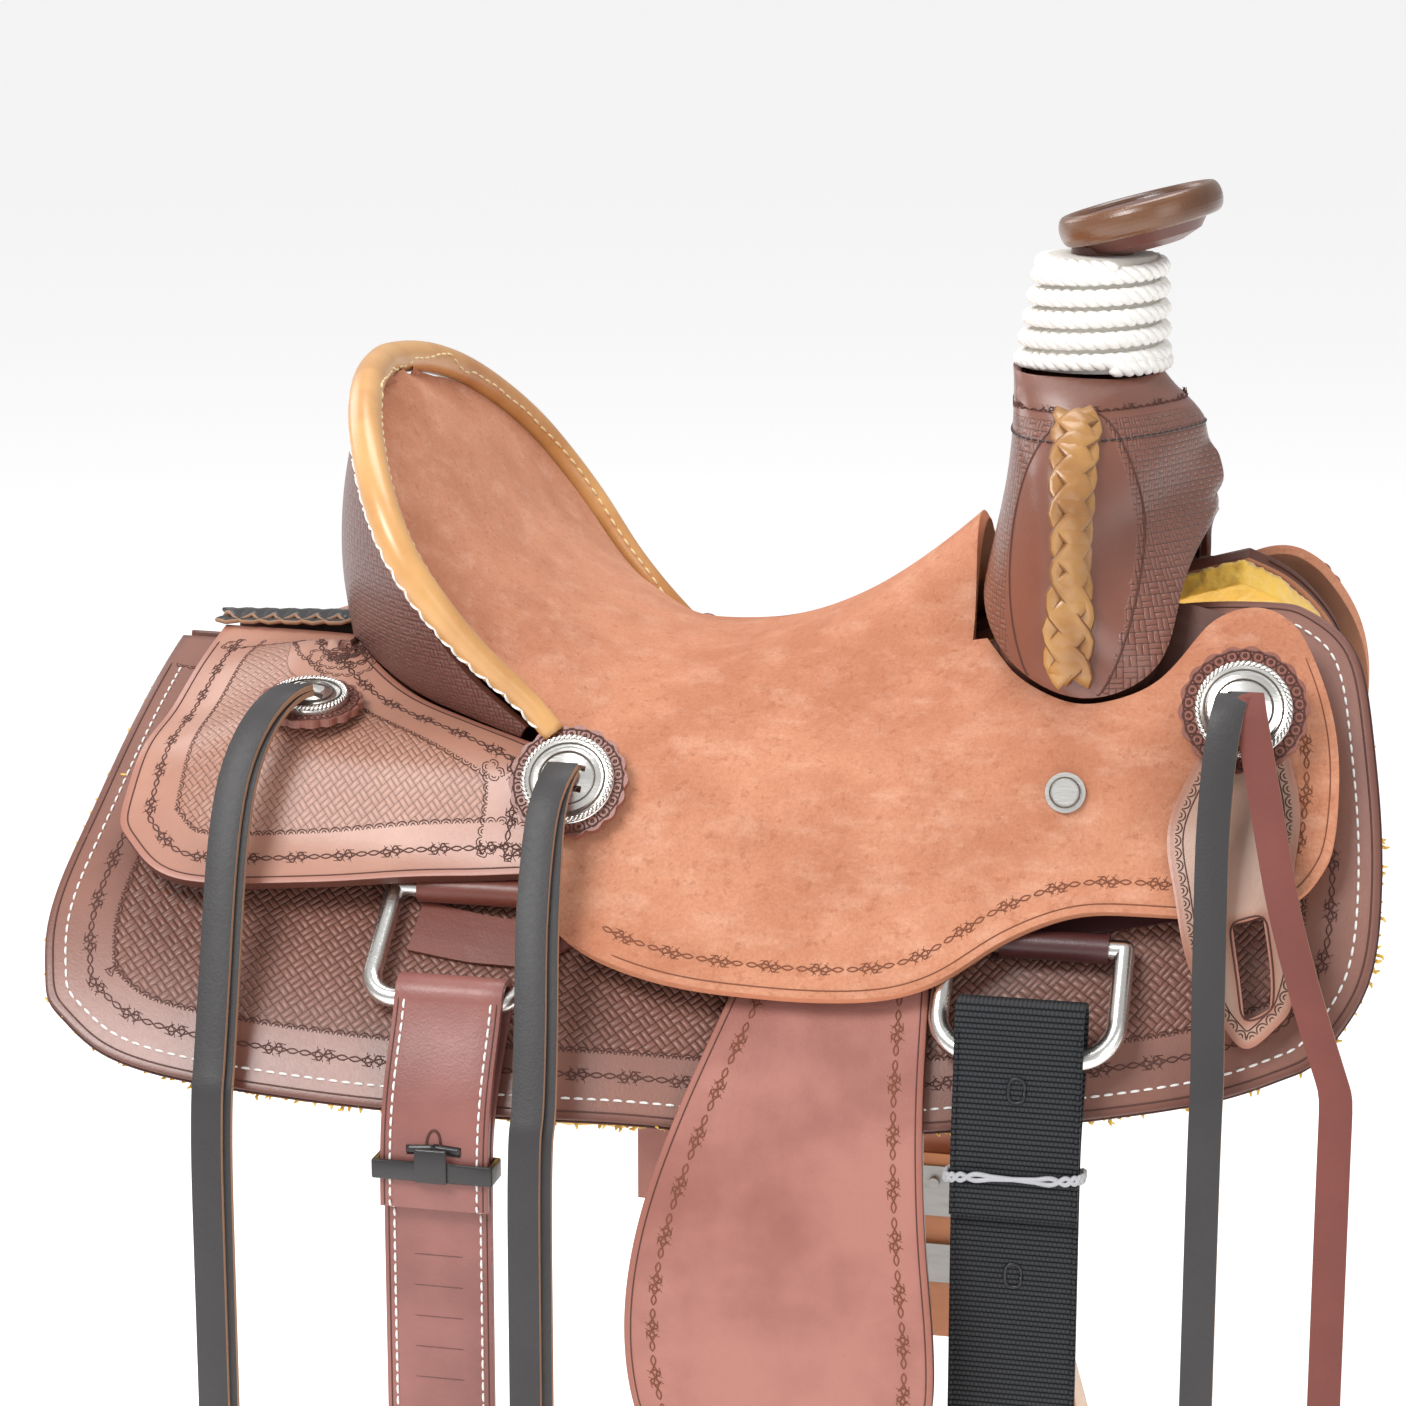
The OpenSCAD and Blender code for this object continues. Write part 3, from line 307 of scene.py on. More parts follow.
STRAP = leather("strap_leather", (0.33, 0.12, 0.075), (0.2, 0.06, 0.035), 0.45)
RIGGING = leather("rigging_leather", (0.20, 0.055, 0.036), (0.10, 0.025, 0.016), 0.42, coat=0.15)
ROLL = leather("roll_leather", (0.075, 0.022, 0.022), (0.035, 0.010, 0.010), 0.36, coat=0.2)
BURGUNDY = leather("burgundy_leather", (0.13, 0.040, 0.028), (0.06, 0.017, 0.012), 0.38)
ROSETTE = leather("rosette_leather", (0.26, 0.088, 0.060), (0.14, 0.042, 0.028), 0.4, coat=0.2)
BLACK = leather("black_leather", (0.022, 0.019, 0.019), (0.010, 0.009, 0.009), 0.36, coat=0.2)
STRING = leather("string_grain", (0.034, 0.031, 0.032), (0.018, 0.016, 0.017), 0.55, coat=0.05,
                 grain=1.6)
STRING_EDGE = plain("string_edge", (0.36, 0.20, 0.12), 0.8)
STRING_RED = leather("string_flesh", (0.19, 0.050, 0.038), (0.11, 0.028, 0.022), 0.7, coat=0.0)
RAWHIDE = leather("golden_rawhide", (0.68, 0.37, 0.135), (0.44, 0.18, 0.050), 0.33, grain=0.6,
                  coat=0.4, mottled=0.8)
AMBER = leather("amber_rawhide", (0.17, 0.070, 0.030), (0.07, 0.026, 0.011), 0.28, coat=0.5,
                mottled=1.0)
LACE = leather("tan_lace", (0.52, 0.275, 0.090), (0.26, 0.105, 0.028), 0.34, coat=0.35, mottled=0.9)
LACE_DARK = leather("tan_lace_edge", (0.24, 0.10, 0.03), (0.14, 0.05, 0.015), 0.45)
GROOVE = plain("tooled_groove", (0.085, 0.026, 0.017), 0.6)
GROOVE_SUEDE = plain("suede_groove", (0.20, 0.065, 0.032), 0.85)
THREAD = plain("white_thread", (0.88, 0.86, 0.82), 0.7, bump=0.0002, scale=2600.0)
THREAD_TAN = plain("straw_thread", (0.80, 0.66, 0.38), 0.7)
ROPE = plain("cotton_rope", (0.92, 0.90, 0.86), 0.85, bump=0.0003, scale=2200.0)
WOOL = plain("shearling", (0.90, 0.56, 0.085), 0.95, bump=0.0008, scale=500.0, Sheen_Weight=0.5)
TREE = plain("covered_tree", (0.10, 0.036, 0.024), 0.55, bump=0.0004, scale=90.0)
STEEL = metal("dee_steel", (0.82, 0.81, 0.78), 0.18, 0.0001)
SILVER = metal("concho_silver", (0.93, 0.91, 0.87), 0.22, 0.0002)
ENGRAVED = metal("engraved", (0.16, 0.14, 0.12), 0.5)
ZINC = metal("zinc", (0.34, 0.345, 0.35), 0.42, 0.0001)
NYLON = webbing("black_nylon")
TIE = plain("grey_tie", (0.42, 0.42, 0.44), 0.45)


# ---- mesh helpers ----
def new_object(name, data):
    obj = bpy.data.objects.new(name, data)
    bpy.context.scene.collection.objects.link(obj)
    return obj


def body_of(node):
    return NODES[node]["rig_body"]


def add_mesh(name, verts, faces, materials, node, index=None):
    """A new piece that rides with the body of a CAD node."""
    mesh = bpy.data.meshes.new(name)
    mesh.from_pydata([tuple(map(float, v)) for v in verts], [], [tuple(map(int, f)) for f in faces])
    for m in materials if isinstance(materials, (list, tuple)) else [materials]:
        mesh.materials.append(m)
    if index is not None:
        mesh.polygons.foreach_set("material_index", np.array(index, np.int32))
    mesh.polygons.foreach_set("use_smooth", [True] * len(mesh.polygons))
    mesh.update()
    obj = new_object(name, mesh)
    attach(obj, body_of(node))
    return obj


def coords(mesh):
    co = np.zeros(len(mesh.vertices) * 3)
    mesh.vertices.foreach_get("co", co)
    return co.reshape(-1, 3)


def flank_sd(p):
    """Distance down the side from the ridge, for points (n, 3) in metres. The flank
    of the CAD part is an arc at every x; its slopes in degrees and its ridge height
    in millimetres are those of the part."""
    x, y, z = (p * 1000).T

    def ease(start, length):
        t = np.clip((x - start) / length, 0, 1)
        return t * t * (3 - 2 * t)

    behind = np.maximum(0, (-60 - x) / 180)
    twist = ease(-60, 380)
    ridge_slope = 17 + 27 * twist - 4 * behind
    edge_slope = 56 + 11 * twist - 3 * behind
    ridge_z = 13 + 90 * ease(15, 300) + 3 * behind
    curvature = np.radians((edge_slope - ridge_slope) / 250)
    start = np.radians(ridge_slope)
    turn = np.arctan2(np.abs(y) + np.sin(start) / curvature, z - ridge_z + np.cos(start) / curvature)
    return (turn - start) / curvature / 1000


def flood(items, neighbours):
    """Groups of the items that reach each other."""
    seen, groups = set(), []
    for item in items:
        if item in seen:
            continue
        group, queue = [], [item]
        seen.add(item)
        while queue:
            here = queue.pop()
            group.append(here)
            for other in neighbours(here):
                if other not in seen:
                    seen.add(other)
                    queue.append(other)
        groups.append(group)
    return groups


def smooth_copy(node, materials, levels=2, sharp=45, bevel=0.0007, core=None, wrap=None):
    """The node's shape with its facets smoothed and its edges kept.
    materials: skin, edge and underside. The copy carries "edge", the distance
    in from its border, and the UV map Flank or Wrap for stamped patterns."""
    bm = bmesh.new()
    bm.from_mesh(NODES[node].data)
    bmesh.ops.remove_doubles(bm, verts=bm.verts, dist=1e-5)
    bmesh.ops.join_triangles(bm, faces=bm.faces, angle_face_threshold=math.radians(28),
                             angle_shape_threshold=math.radians(70))
    crease = bm.edges.layers.float.new("crease_edge")
    hard = set()
    for e in bm.edges:
        if len(e.link_faces) == 2 and e.calc_face_angle(0) > math.radians(sharp):
            e[crease] = 1.0
            hard.add(e)
    regions = flood(bm.faces, lambda f: (h for e in f.edges if e not in hard for h in e.link_faces))
    regions.sort(key=lambda r: -sum(f.calc_area() for f in r))

    def reach(region):
        """Mean distance from the core, or from a line well below the saddle."""
        total = 0.0
        for f in region:
            mid = f.calc_center_median()
            inside = Vector(core) if core else Vector((mid.x, 0, -0.25))
            total += (mid - inside).length * f.calc_area()
        return total / sum(f.calc_area() for f in region)

    if len(regions) > 1:
        skins = sorted(regions[:2], key=reach, reverse=True)
        for f in bm.faces:
            f.material_index = 1
        for i, region in ((0, skins[0]), (2, skins[1])):
            for f in region:
                f.material_index = i
    mesh = bpy.data.meshes.new(node + "_looks")
    bm.to_mesh(mesh)
    bm.free()
    for m in materials:
        mesh.materials.append(m)
    obj = new_object(node + "_looks", mesh)
    step = obj.modifiers.new("smooth", "SUBSURF")
    step.levels = step.render_levels = levels
    graph = bpy.context.evaluated_depsgraph_get()
    fine = bpy.data.meshes.new_from_object(obj.evaluated_get(graph))
    obj.modifiers.clear()
    obj.data = fine
    fine.polygons.foreach_set("use_smooth", [True] * len(fine.polygons))
    mark_border(obj)
    add_uv(obj, wrap)
    if bevel:
        b = obj.modifiers.new("edge", "BEVEL")
        b.width = bevel
        b.segments = 2
        b.limit_method = "ANGLE"
        b.angle_limit = math.radians(50)
    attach(obj, body_of(node))
    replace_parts(obj, node)
    return obj


def border_loops(mesh):
    """Closed loops of vertices between the skin and the edge faces, longest first."""
    kinds = {}
    for f in mesh.polygons:
        for e in f.edge_keys:
            kinds.setdefault(e, set()).add(f.material_index)
    links = {}
    for (a, b), k in kinds.items():
        if k == {0, 1}:
            links.setdefault(a, []).append(b)
            links.setdefault(b, []).append(a)
    loops, used = [], set()
    for start in links:
        if start in used:
            continue
        loop, last, here = [start], None, start
        used.add(start)
        while True:
            nxt = [v for v in links[here] if v != last and v not in used]
            if not nxt:
                break
            last, here = here, nxt[0]
            used.add(here)
            loop.append(here)
        if len(loop) > 8:
            loops.append(loop)
    co = coords(mesh)
    return sorted(loops, key=lambda l: -np.linalg.norm(np.diff(co[l], axis=0), axis=1).sum())


def run_length(p):
    """Distance run along a path at each of its points."""
    return np.r_[0, np.cumsum(np.linalg.norm(np.diff(p, axis=0), axis=1))]


def resample(path, pitch, closed=True):
    """Points at an even pitch along a path, as (n, 3)."""
    p = np.array(path, float)
    if closed:
        p = np.vstack([p, p[:1]])
    d = run_length(p)
    n = max(8, int(round(d[-1] / pitch)))
    t = np.linspace(0, d[-1], n, endpoint=not closed)
    return np.stack([np.interp(t, d, p[:, i]) for i in range(3)], 1)


def tangents(p, closed=True):
    t = np.roll(p, -1, 0) - np.roll(p, 1, 0)
    if not closed:
        t[0], t[-1] = p[1] - p[0], p[-1] - p[-2]
    return t / np.maximum(np.linalg.norm(t, axis=1, keepdims=True), 1e-9)


def path_frame(q, p, n, closed):
    """Tangents at points q, and normals square to them, from a path p with normals n."""
    near = [int(np.argmin(((p - c) ** 2).sum(1))) for c in q]
    t, up = tangents(q, closed), n[near]
    up = up - t * (up * t).sum(1, keepdims=True)
    return t, up / np.linalg.norm(up, axis=1, keepdims=True)


def relax(p, times):
    """Smooths an open path in place."""
    for _ in range(times):
        p[1:-1] = (p[:-2] + 2 * p[1:-1] + p[2:]) / 4


def circle(count):
    """Cosine and sine at even steps round a circle."""
    return [(math.cos(math.tau * k / count), math.sin(math.tau * k / count)) for k in range(count)]


def ring_faces(start, rings, sides):
    """Walls and end caps of a tube made of rings of vertices."""
    faces = []
    for i in range(rings - 1):
        for k in range(sides):
            a, b = start + i * sides + k, start + i * sides + (k + 1) % sides
            faces.append((a, b, b + sides, a + sides))
    last = start + (rings - 1) * sides
    return faces + [tuple(range(start + sides - 1, start - 1, -1)), tuple(range(last, last + sides))]


class Skin:
    """The outer face of a piece, or all its faces, to lay stitches and stamps on."""

    def __init__(self, obj, all_faces=False):
        mesh = obj.data
        co = coords(mesh)
        faces = [tuple(f.vertices) for f in mesh.polygons if all_faces or f.material_index == 0]
        self.tree = BVHTree.FromPolygons([Vector(c) for c in co], faces)
        self.loops = [co[l] for l in border_loops(mesh)]

    def snap(self, points):
        """Nearest points of the skin and its normals there."""
        at, up = [], []
        for p in points:
            q, n, _, _ = self.tree.find_nearest(Vector(p))
            at.append(q)
            up.append(n)
        return np.array(at), np.array(up)

    def cast(self, points, ways):
        """Where a ray from each point meets the skin; misses are left out."""
        at, up = [], []
        for p, way in zip(points, map(Vector, ways)):
            q, n, _, _ = self.tree.ray_cast(Vector(p), way)
            if q is not None:
                at.append(q)
                up.append(n if n.dot(way) < 0 else -n)
        return np.array(at), np.array(up)

    def inset(self, distance, loop=0, pitch=0.002):
        """The border moved in over the skin: points, normals and inward directions."""
        p = resample(self.loops[loop], pitch)
        p, n = self.snap(p)
        mid = p.mean(0)
        inward = np.cross(n, tangents(p))
        probe, _ = self.snap(p + inward * 0.004)
        moved = np.linalg.norm(probe - p, axis=1).mean()
        back, _ = self.snap(p - inward * 0.004)
        if np.linalg.norm(back - p, axis=1).mean() > moved:
            inward = -inward
        steps = max(1, int(distance / 0.006))
        for _ in range(steps):
            p, n = self.snap(p + inward * distance / steps)
            for _ in range(2):
                p = (np.roll(p, 1, 0) + 2 * p + np.roll(p, -1, 0)) / 4
            turned = np.cross(n, tangents(p))
            flip = np.sign((turned * inward).sum(1, keepdims=True))
            inward = turned * np.where(flip == 0, 1, flip)
        p = resample(p, pitch)
        p, n = self.snap(p)
        turned = np.cross(n, tangents(p))
        if (turned * (mid - p)).sum() < 0:
            turned = -turned
        return p, n, turned


def outside(skin, side, places):
    """Points and normals where places (x, z) fall on the outer side of a skin."""
    return skin.cast([(x, side * 0.5, z) for x, z in places], [(0, -side, 0)] * len(places))


def oval(x, z, half_x, half_z, count, corner=1.0):
    """Places (x, z) round an oval; a corner under 1 squares its ends."""
    return [(x + half_x * math.cos(a), z + half_z * squared(math.sin(a), corner))
            for a in np.linspace(0, math.tau, count)]


def mark_border(obj):
    """Stores each vertex's distance in from the border as the attribute edge."""
    mesh = obj.data
    co = coords(mesh)
    far = np.full(len(co), 0.2)
    loops = border_loops(mesh)
    if loops:
        points = np.vstack([resample(co[l], 0.0015) for l in loops])
        tree = KDTree(len(points))
        for i, p in enumerate(points):
            tree.insert(p, i)
        tree.balance()
        far = np.array([tree.find(c)[2] for c in co])
    a = mesh.attributes.new("edge", "FLOAT", "POINT")
    a.data.foreach_set("value", far.astype(np.float32))


def add_uv(obj, wrap):
    """UV map Flank holds (x, distance down the side); Wrap goes round an axis."""
    mesh = obj.data
    co = coords(mesh)
    if wrap:
        (cx, cy), radius = wrap
        uv = np.stack([np.arctan2(co[:, 1] - cy, co[:, 0] - cx) * radius, co[:, 2]], 1)
        name = "Wrap"
    else:
        uv = np.stack([co[:, 0], flank_sd(co)], 1)
        name = "Flank"
    layer = mesh.uv_layers.get(name) or mesh.uv_layers.new(name=name)
    loops = np.zeros(len(mesh.loops), np.int32)
    mesh.loops.foreach_get("vertex_index", loops)
    layer.data.foreach_set("uv", uv[loops].astype(np.float32).ravel())


def stamp(name, template, at, up, along, material, node):
    """Copies of a small mesh (verts as along, across, up) at every place."""
    tv, tf = template
    tv = np.array(tv, float)
    across = np.cross(up, along)
    verts = (at[:, None, :] + tv[None, :, 0:1] * along[:, None, :] + tv[None, :, 1:2] * across[:, None, :]
             + tv[None, :, 2:3] * up[:, None, :]).reshape(-1, 3)
    faces = [tuple(i * len(tv) + k for k in f) for i in range(len(at)) for f in tf]
    return add_mesh(name, verts, faces, material, node)


def bead(length, width, height, rows=5, sides=6):
    """A stitch: a bead that dips into the leather at both ends."""
    verts = []
    for i in range(rows):
        t = i / (rows - 1)
        swell = math.sin(math.pi * (0.12 + 0.76 * t)) ** 0.5
        rise = height * (0.35 * math.sin(math.pi * t) - 0.15)
        verts += [((t - 0.5) * length, c * width / 2 * swell, s * height / 2 * swell + rise)
                  for c, s in circle(sides)]
    return verts, ring_faces(0, rows, sides)


STITCH = bead(0.0036, 0.0011, 0.0010)


def stitches(name, path, node, pitch=0.0052, material=THREAD, template=STITCH, keep=None, closed=True):
    """A row of stitches along a path of (points, normals)."""
    p, n = path[:2]
    q = resample(p, pitch, closed)
    t, up = path_frame(q, p, n, closed)
    if keep is not None:
        ok = np.array([bool(keep(c)) for c in q])
        q, up, t = q[ok], up[ok], t[ok]
    return stamp(name, template, q + up * 0.00015, up, t, material, node)


def tubes(name, paths, radius, material, node, sides=5, taper=False, flat=1.0):
    """Round threads or grooves along paths of (points, normals)."""
    verts, faces = [], []
    for p, n in paths:
        if len(p) < 2:
            continue
        t = tangents(p, False)
        n = n - t * (n * t).sum(1, keepdims=True)
        n /= np.maximum(np.linalg.norm(n, axis=1, keepdims=True), 1e-9)
        b = np.cross(t, n)
        start = len(verts)
        for i in range(len(p)):
            r = radius * (0.45 if taper and i in (0, len(p) - 1) else 1.0)
            verts += [p[i] + b[i] * (r * c) + n[i] * (r * flat * s) for c, s in circle(sides)]
        faces += ring_faces(start, len(p), sides)
    return add_mesh(name, verts, faces, material, node)


def arc(cx, cy, r, a, b, n=7):
    return [(cx + r * math.cos(math.radians(a + (b - a) * i / (n - 1))),
             cy + r * math.sin(math.radians(a + (b - a) * i / (n - 1)))) for i in range(n)]


def wire_motif(size):
    """Barbed wire: two twisted strands and a barb, size long, in (along, across)."""
    k = size / 20.0
    wave = lambda s: [(k * (-10 + i), k * s * math.sin(math.pi * i / 5)) for i in range(21)]
    barb = [[(-3.2 * k, -3.2 * k), (0.4 * k, 3.0 * k)], [(-0.4 * k, -3.0 * k), (3.2 * k, 3.2 * k)],
            [(-4.4 * k, 2.2 * k), (-1.2 * k, 2.4 * k), (1.2 * k, -2.4 * k), (4.4 * k, -2.2 * k)],
            arc(-1.2 * k, 0, 2.2 * k, 100, 260, 6), arc(1.2 * k, 0, 2.2 * k, -80, 80, 6)]
    return [wave(1), wave(-1)] + barb


def scallop_motif(size):
    return [arc(0, 0, size * 0.46, 0, 180, 8), arc(0, 0, size * 0.2, 0, 180, 5)]


def tooling(name, skin, inset, motif, pitch, material, node, keep=None, radius=0.00034, path=None):
    """Repeats a motif along the border at that inset, or along a given closed path."""
    p, n, inward = [np.vstack([a, a[:1]]) for a in (path or skin.inset(inset))]
    d = run_length(p)
    count = max(1, int(round(d[-1] / pitch)))
    at = lambda values, s: np.array([np.interp(s, d, values[:, i]) for i in range(3)])
    paths = []
    for c in range(count):
        middle = (c + 0.5) * (d[-1] / count)
        if keep is not None and not keep(at(p, middle)):
            continue
        for line in motif:
            run = [((middle + a) % d[-1], b) for a, b in line]
            pts = [at(p, s) + at(inward, s) * b for s, b in run]
            paths.append((np.array(pts), np.array([at(n, s) for s, _ in run])))
    if paths:
        tubes(name, paths, radius, material, node, taper=True)


def line_on(name, path, material, node, radius=0.0004, keep=None):
    """One groove, cord or welt along a closed border path."""
    p, n = path[:2]
    p, n = np.vstack([p, p[:1]]), np.vstack([n, n[:1]])
    runs, run = [], []
    for i in range(len(p)):
        if keep is None or keep(p[i]):
            run.append(i)
        elif run:
            runs.append(run)
            run = []
    runs.append(run)
    tubes(name, [(p[r], n[r]) for r in runs if len(r) > 2], radius, material, node, taper=True)


def paint(node, material):
    """A CAD node shown as it is, with a better material."""
    obj = NODES[node]
    obj.data.materials.clear()
    obj.data.materials.append(material)


def squared(v, power):
    """A sine or cosine pushed outward, which turns a circle into a rounded square."""
    return math.copysign(abs(v) ** power, v)


def braid(name, path, node, width, thick, pitch, materials, strands=3, strand_w=0.45, lift=0.0):
    """A flat plait along a path of (points, normals). pitch is one full weave of a
    strand, and strand_w a strand's share of the width."""
    p = resample(path[0], pitch / 14, False)
    t, up = path_frame(p, *path, False)
    side = np.cross(up, t)
    d = run_length(p)
    verts, faces, index = [], [], []
    sides = 10
    for k in range(strands):
        start = len(verts)
        for i in range(len(p)):
            ph = math.tau * (d[i] / pitch + k / strands)
            c = (p[i] + side[i] * (width / 2 - width * strand_w / 2) * math.sin(ph)
                 + up[i] * (lift + thick * (0.55 + 0.5 * math.cos(2 * ph))))
            go = t[i] * pitch + side[i] * math.cos(ph) * (math.pi * width * 0.6)
            go /= np.linalg.norm(go)
            out = np.cross(up[i], go)
            verts += [c + out * (width * strand_w / 2 * squared(x, 0.6))
                      + up[i] * (thick * 0.5 * squared(y, 0.8)) for x, y in circle(sides)]
        for i in range(len(p) - 1):
            for m in range(sides):
                a, b = start + i * sides + m, start + i * sides + (m + 1) % sides
                faces.append((a, a + sides, b + sides, b))
                index.append(1 if m in (4, 5, 9, 0) and len(materials) > 1 else 0)
        end = len(verts)
        faces += [tuple(range(start, start + sides)), tuple(range(end - 1, end - sides - 1, -1))]
        index += [0, 0]
    return add_mesh(name, verts, faces, materials, node, index)


# ---- hidden tree ----
for n in ("tree_bar_off", "tree_bar_near", "tree_fork", "tree_cantle", "ground_seat"):
    paint(n, TREE)
paint("horn", BURGUNDY)


# ---- skirts, fleece and rear jockeys ----
def below(distance):
    """Whether a point lies further down the side than that."""
    return lambda p: flank_sd(p[None])[0] > distance


def tooled_border(node, skin, keep, barbs, scallops, groove, groove_radius):
    """Barbed wire, scallops and a groove inside the border: (inset, size[, radius])."""
    inset, size = barbs
    tooling(node + "_barbs", skin, inset, wire_motif(size), size, GROOVE, node, keep=keep)
    inset, size, radius = scallops
    tooling(node + "_scallops", skin, inset, scallop_motif(size), size, GROOVE, node, keep, radius)
    line_on(node + "_groove", skin.inset(groove), GROOVE, node, groove_radius, keep)


def skirt_trim(node):
    skin = Skin(smooth_copy(node, [SKIRT, EDGE, FLESH]))
    outer = below(0.03)
    stitches(node + "_stitches", skin.inset(0.0085), node, keep=outer)
    tooled_border(node, skin, outer, (0.0185, 0.0205), (0.0275, 0.0052, 0.0003), 0.0032, 0.0004)
    rim, up = skin.snap(resample(skin.loops[0], 0.003))
    out = np.cross(up, tangents(rim))
    if (out * (rim - rim.mean(0))).sum() < 0:
        out = -out
    # half way down the cut edge, and just proud of it
    wall = rim - up * 0.0027 + out * 0.0002
    line_on(node + "_edge_seam", (wall, out), GROOVE, node, 0.00055, outer)


def curly_fleece(node):
    """A nubby pad with tufts along the lower and rear edges."""
    obj = smooth_copy(node, [WOOL] * 3, levels=3, bevel=0)
    co = coords(obj.data)
    normals = np.zeros(len(co) * 3)
    obj.data.vertices.foreach_get("normal", normals)
    curl = np.array([noise.noise(Vector(c) * 210.0) + 0.6 * noise.noise(Vector(c) * 520.0) for c in co])
    depth = np.where(flank_sd(co) > 0.004, 1.0, 0.2)
    moved = co + normals.reshape(-1, 3) * (curl * 0.0011 * depth)[:, None]
    obj.data.vertices.foreach_set("co", moved.ravel())
    tufts = []
    for c in resample(Skin(obj).loops[0], 0.0022):
        if not below(0.03 if c[0] < -0.19 else 0.15)(c):
            continue
        rim = Vector(c)
        inward = (Vector((0, 0, 0.12)) - rim).normalized()
        outward = (rim - Vector((0.02, 0, 0.02))).normalized()
        for layer in range(4):
            root = rim + Vector((random.uniform(-1, 1) * 0.0012, 0, 0)) + inward * 0.0028 * layer
            way = (outward + Vector([random.uniform(-0.7, 0.7) for _ in range(3)])).normalized()
            bow = way.cross(Vector([random.uniform(-1, 1) for _ in range(3)])).normalized()
            size = random.uniform(0.0030, 0.0056)
            pts = [root + way * size * t + bow * size * 0.45 * math.sin(2.6 * t)
                   for t in (-0.4, 0.2, 0.7, 1.0)]
            tufts.append((np.array(pts), np.array([bow] * 4)))
    tubes(node + "_curls", tufts, 0.00085, WOOL, node, sides=4, taper=True)


for tag, side in SIDES:
    skirt_trim("skirt_" + tag)
    curly_fleece("fleece_" + tag)

for tag, side in SIDES:
    node = "rear_jockey_" + tag
    skin = Skin(smooth_copy(node, [JOCKEY, EDGE, FLESH]))
    tooled_border(node, skin, below(0.02), (0.0120, 0.0195), (0.0225, 0.0046, 0.00026), 0.0030, 0.00035)

# ---- seat ----
fork_lo, fork_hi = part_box("fork_cover")


def on_flap(p):
    """The lower and front borders of a seat flap, which carry the barbed wire."""
    down = 0.088 if p[0] > 0.235 else 0.135
    return p[2] < fork_lo.z + 0.06 and below(down)(p) and p[0] > 0.0


seat_skin = Skin(smooth_copy("seat_leather", [SUEDE, SUEDE_EDGE, FLESH], sharp=50, bevel=0.0010))
tooling("seat_leather_barbs", seat_skin, 0.0125, wire_motif(0.0190), 0.0200, GROOVE_SUEDE, "seat_leather",
        keep=on_flap, radius=0.0003)
line_on("seat_leather_groove", seat_skin.inset(0.0034), GROOVE_SUEDE, "seat_leather", 0.0003, on_flap)

# ---- cantle ----
smooth_copy("cantle_back", [CANTLE, EDGE, FLESH], wrap=((-0.05, 0.0), 0.11), core=(-0.08, 0, 0.06))
binding_skin = Skin(smooth_copy("cantle_binding", [RAWHIDE] * 3, bevel=0, sharp=70), all_faces=True)


def ring_centres(node, count):
    """Centres of a swept tube that spans from one side of the saddle to the other."""
    co = coords(NODES[node].data)
    ends = []
    angle = np.arctan2(co[:, 1], -(co[:, 0] + 0.02))
    reach = np.abs(angle).max()
    bins = np.linspace(-reach, reach, count + 1)
    for a, b in zip(bins[:-1], bins[1:]):
        inside = co[(angle >= a) & (angle <= b)]
        if len(inside):
            ends.append((inside.min(0) + inside.max(0)) / 2)
    return np.array(ends)


def binding_row(name, toward, template, pitch, material, slant=0.0):
    """A row of stitches on the binding, cast from a point."""
    mids = resample(ring_centres("cantle_binding", 60), 0.003, False)
    relax(mids, 6)
    mids = mids[3:-3]
    ways = [(Vector(toward(m)) - Vector(m)).normalized() for m in mids]
    at, up = binding_skin.cast([Vector(m) + way * 0.03 for m, way in zip(mids, ways)], [-way for way in ways])
    relax(at, 3)
    q = resample(at, pitch, False)
    t, u = path_frame(q, at, up, False)
    cross = np.cross(u, t)
    lean = np.where(np.arange(len(q)) % 2 == 0, slant, -slant)[:, None]
    along = t * np.cos(lean) + cross * np.sin(lean)
    stamp(name, template, q + u * 0.0001, u, along, material, "cantle_binding")


binding_row("cantle_binding_inner", lambda m: (-0.02, m[1] * 0.55, m[2] - 0.012),
            bead(0.0042, 0.0012, 0.0011), 0.0056, THREAD_TAN)
binding_row("cantle_binding_outer", lambda m: (m[0] - 0.06, m[1] * 1.5, m[2] - 0.045),
            bead(0.0058, 0.0013, 0.0012), 0.0048, THREAD, slant=0.62)

# ---- fork ----
fork_mid = (fork_lo + fork_hi) / 2
lace_lo, lace_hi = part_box("fork_lacing")
lace_mid_z, lace_half_z = (lace_lo.z + lace_hi.z) / 2, (lace_hi.z - lace_lo.z) / 2
fork = smooth_copy("fork_cover", [FORK, EDGE, FLESH], wrap=((0.165, 0.0), 0.075), core=tuple(fork_mid))
fork_skin = Skin(fork)


def fork_field():
    """Marks the plain panel round the lacing and the plain neck as no stamped field."""
    mesh = fork.data
    co = coords(mesh)
    mid_x = 0.168 + (co[:, 2] - lace_mid_z) * 0.02
    across, along = (co[:, 0] - mid_x) / 0.024, (co[:, 2] - lace_mid_z + 0.01) / (lace_half_z + 0.012)
    oval = np.sqrt(across ** 2 + along ** 2)
    value = np.where(oval < 1.0, 0.0, (oval - 1) * 0.02)
    value = np.minimum(value, np.maximum(0, (fork_hi.z - 0.014) - co[:, 2]))
    mesh.attributes["edge"].data.foreach_set("value", value.astype(np.float32))


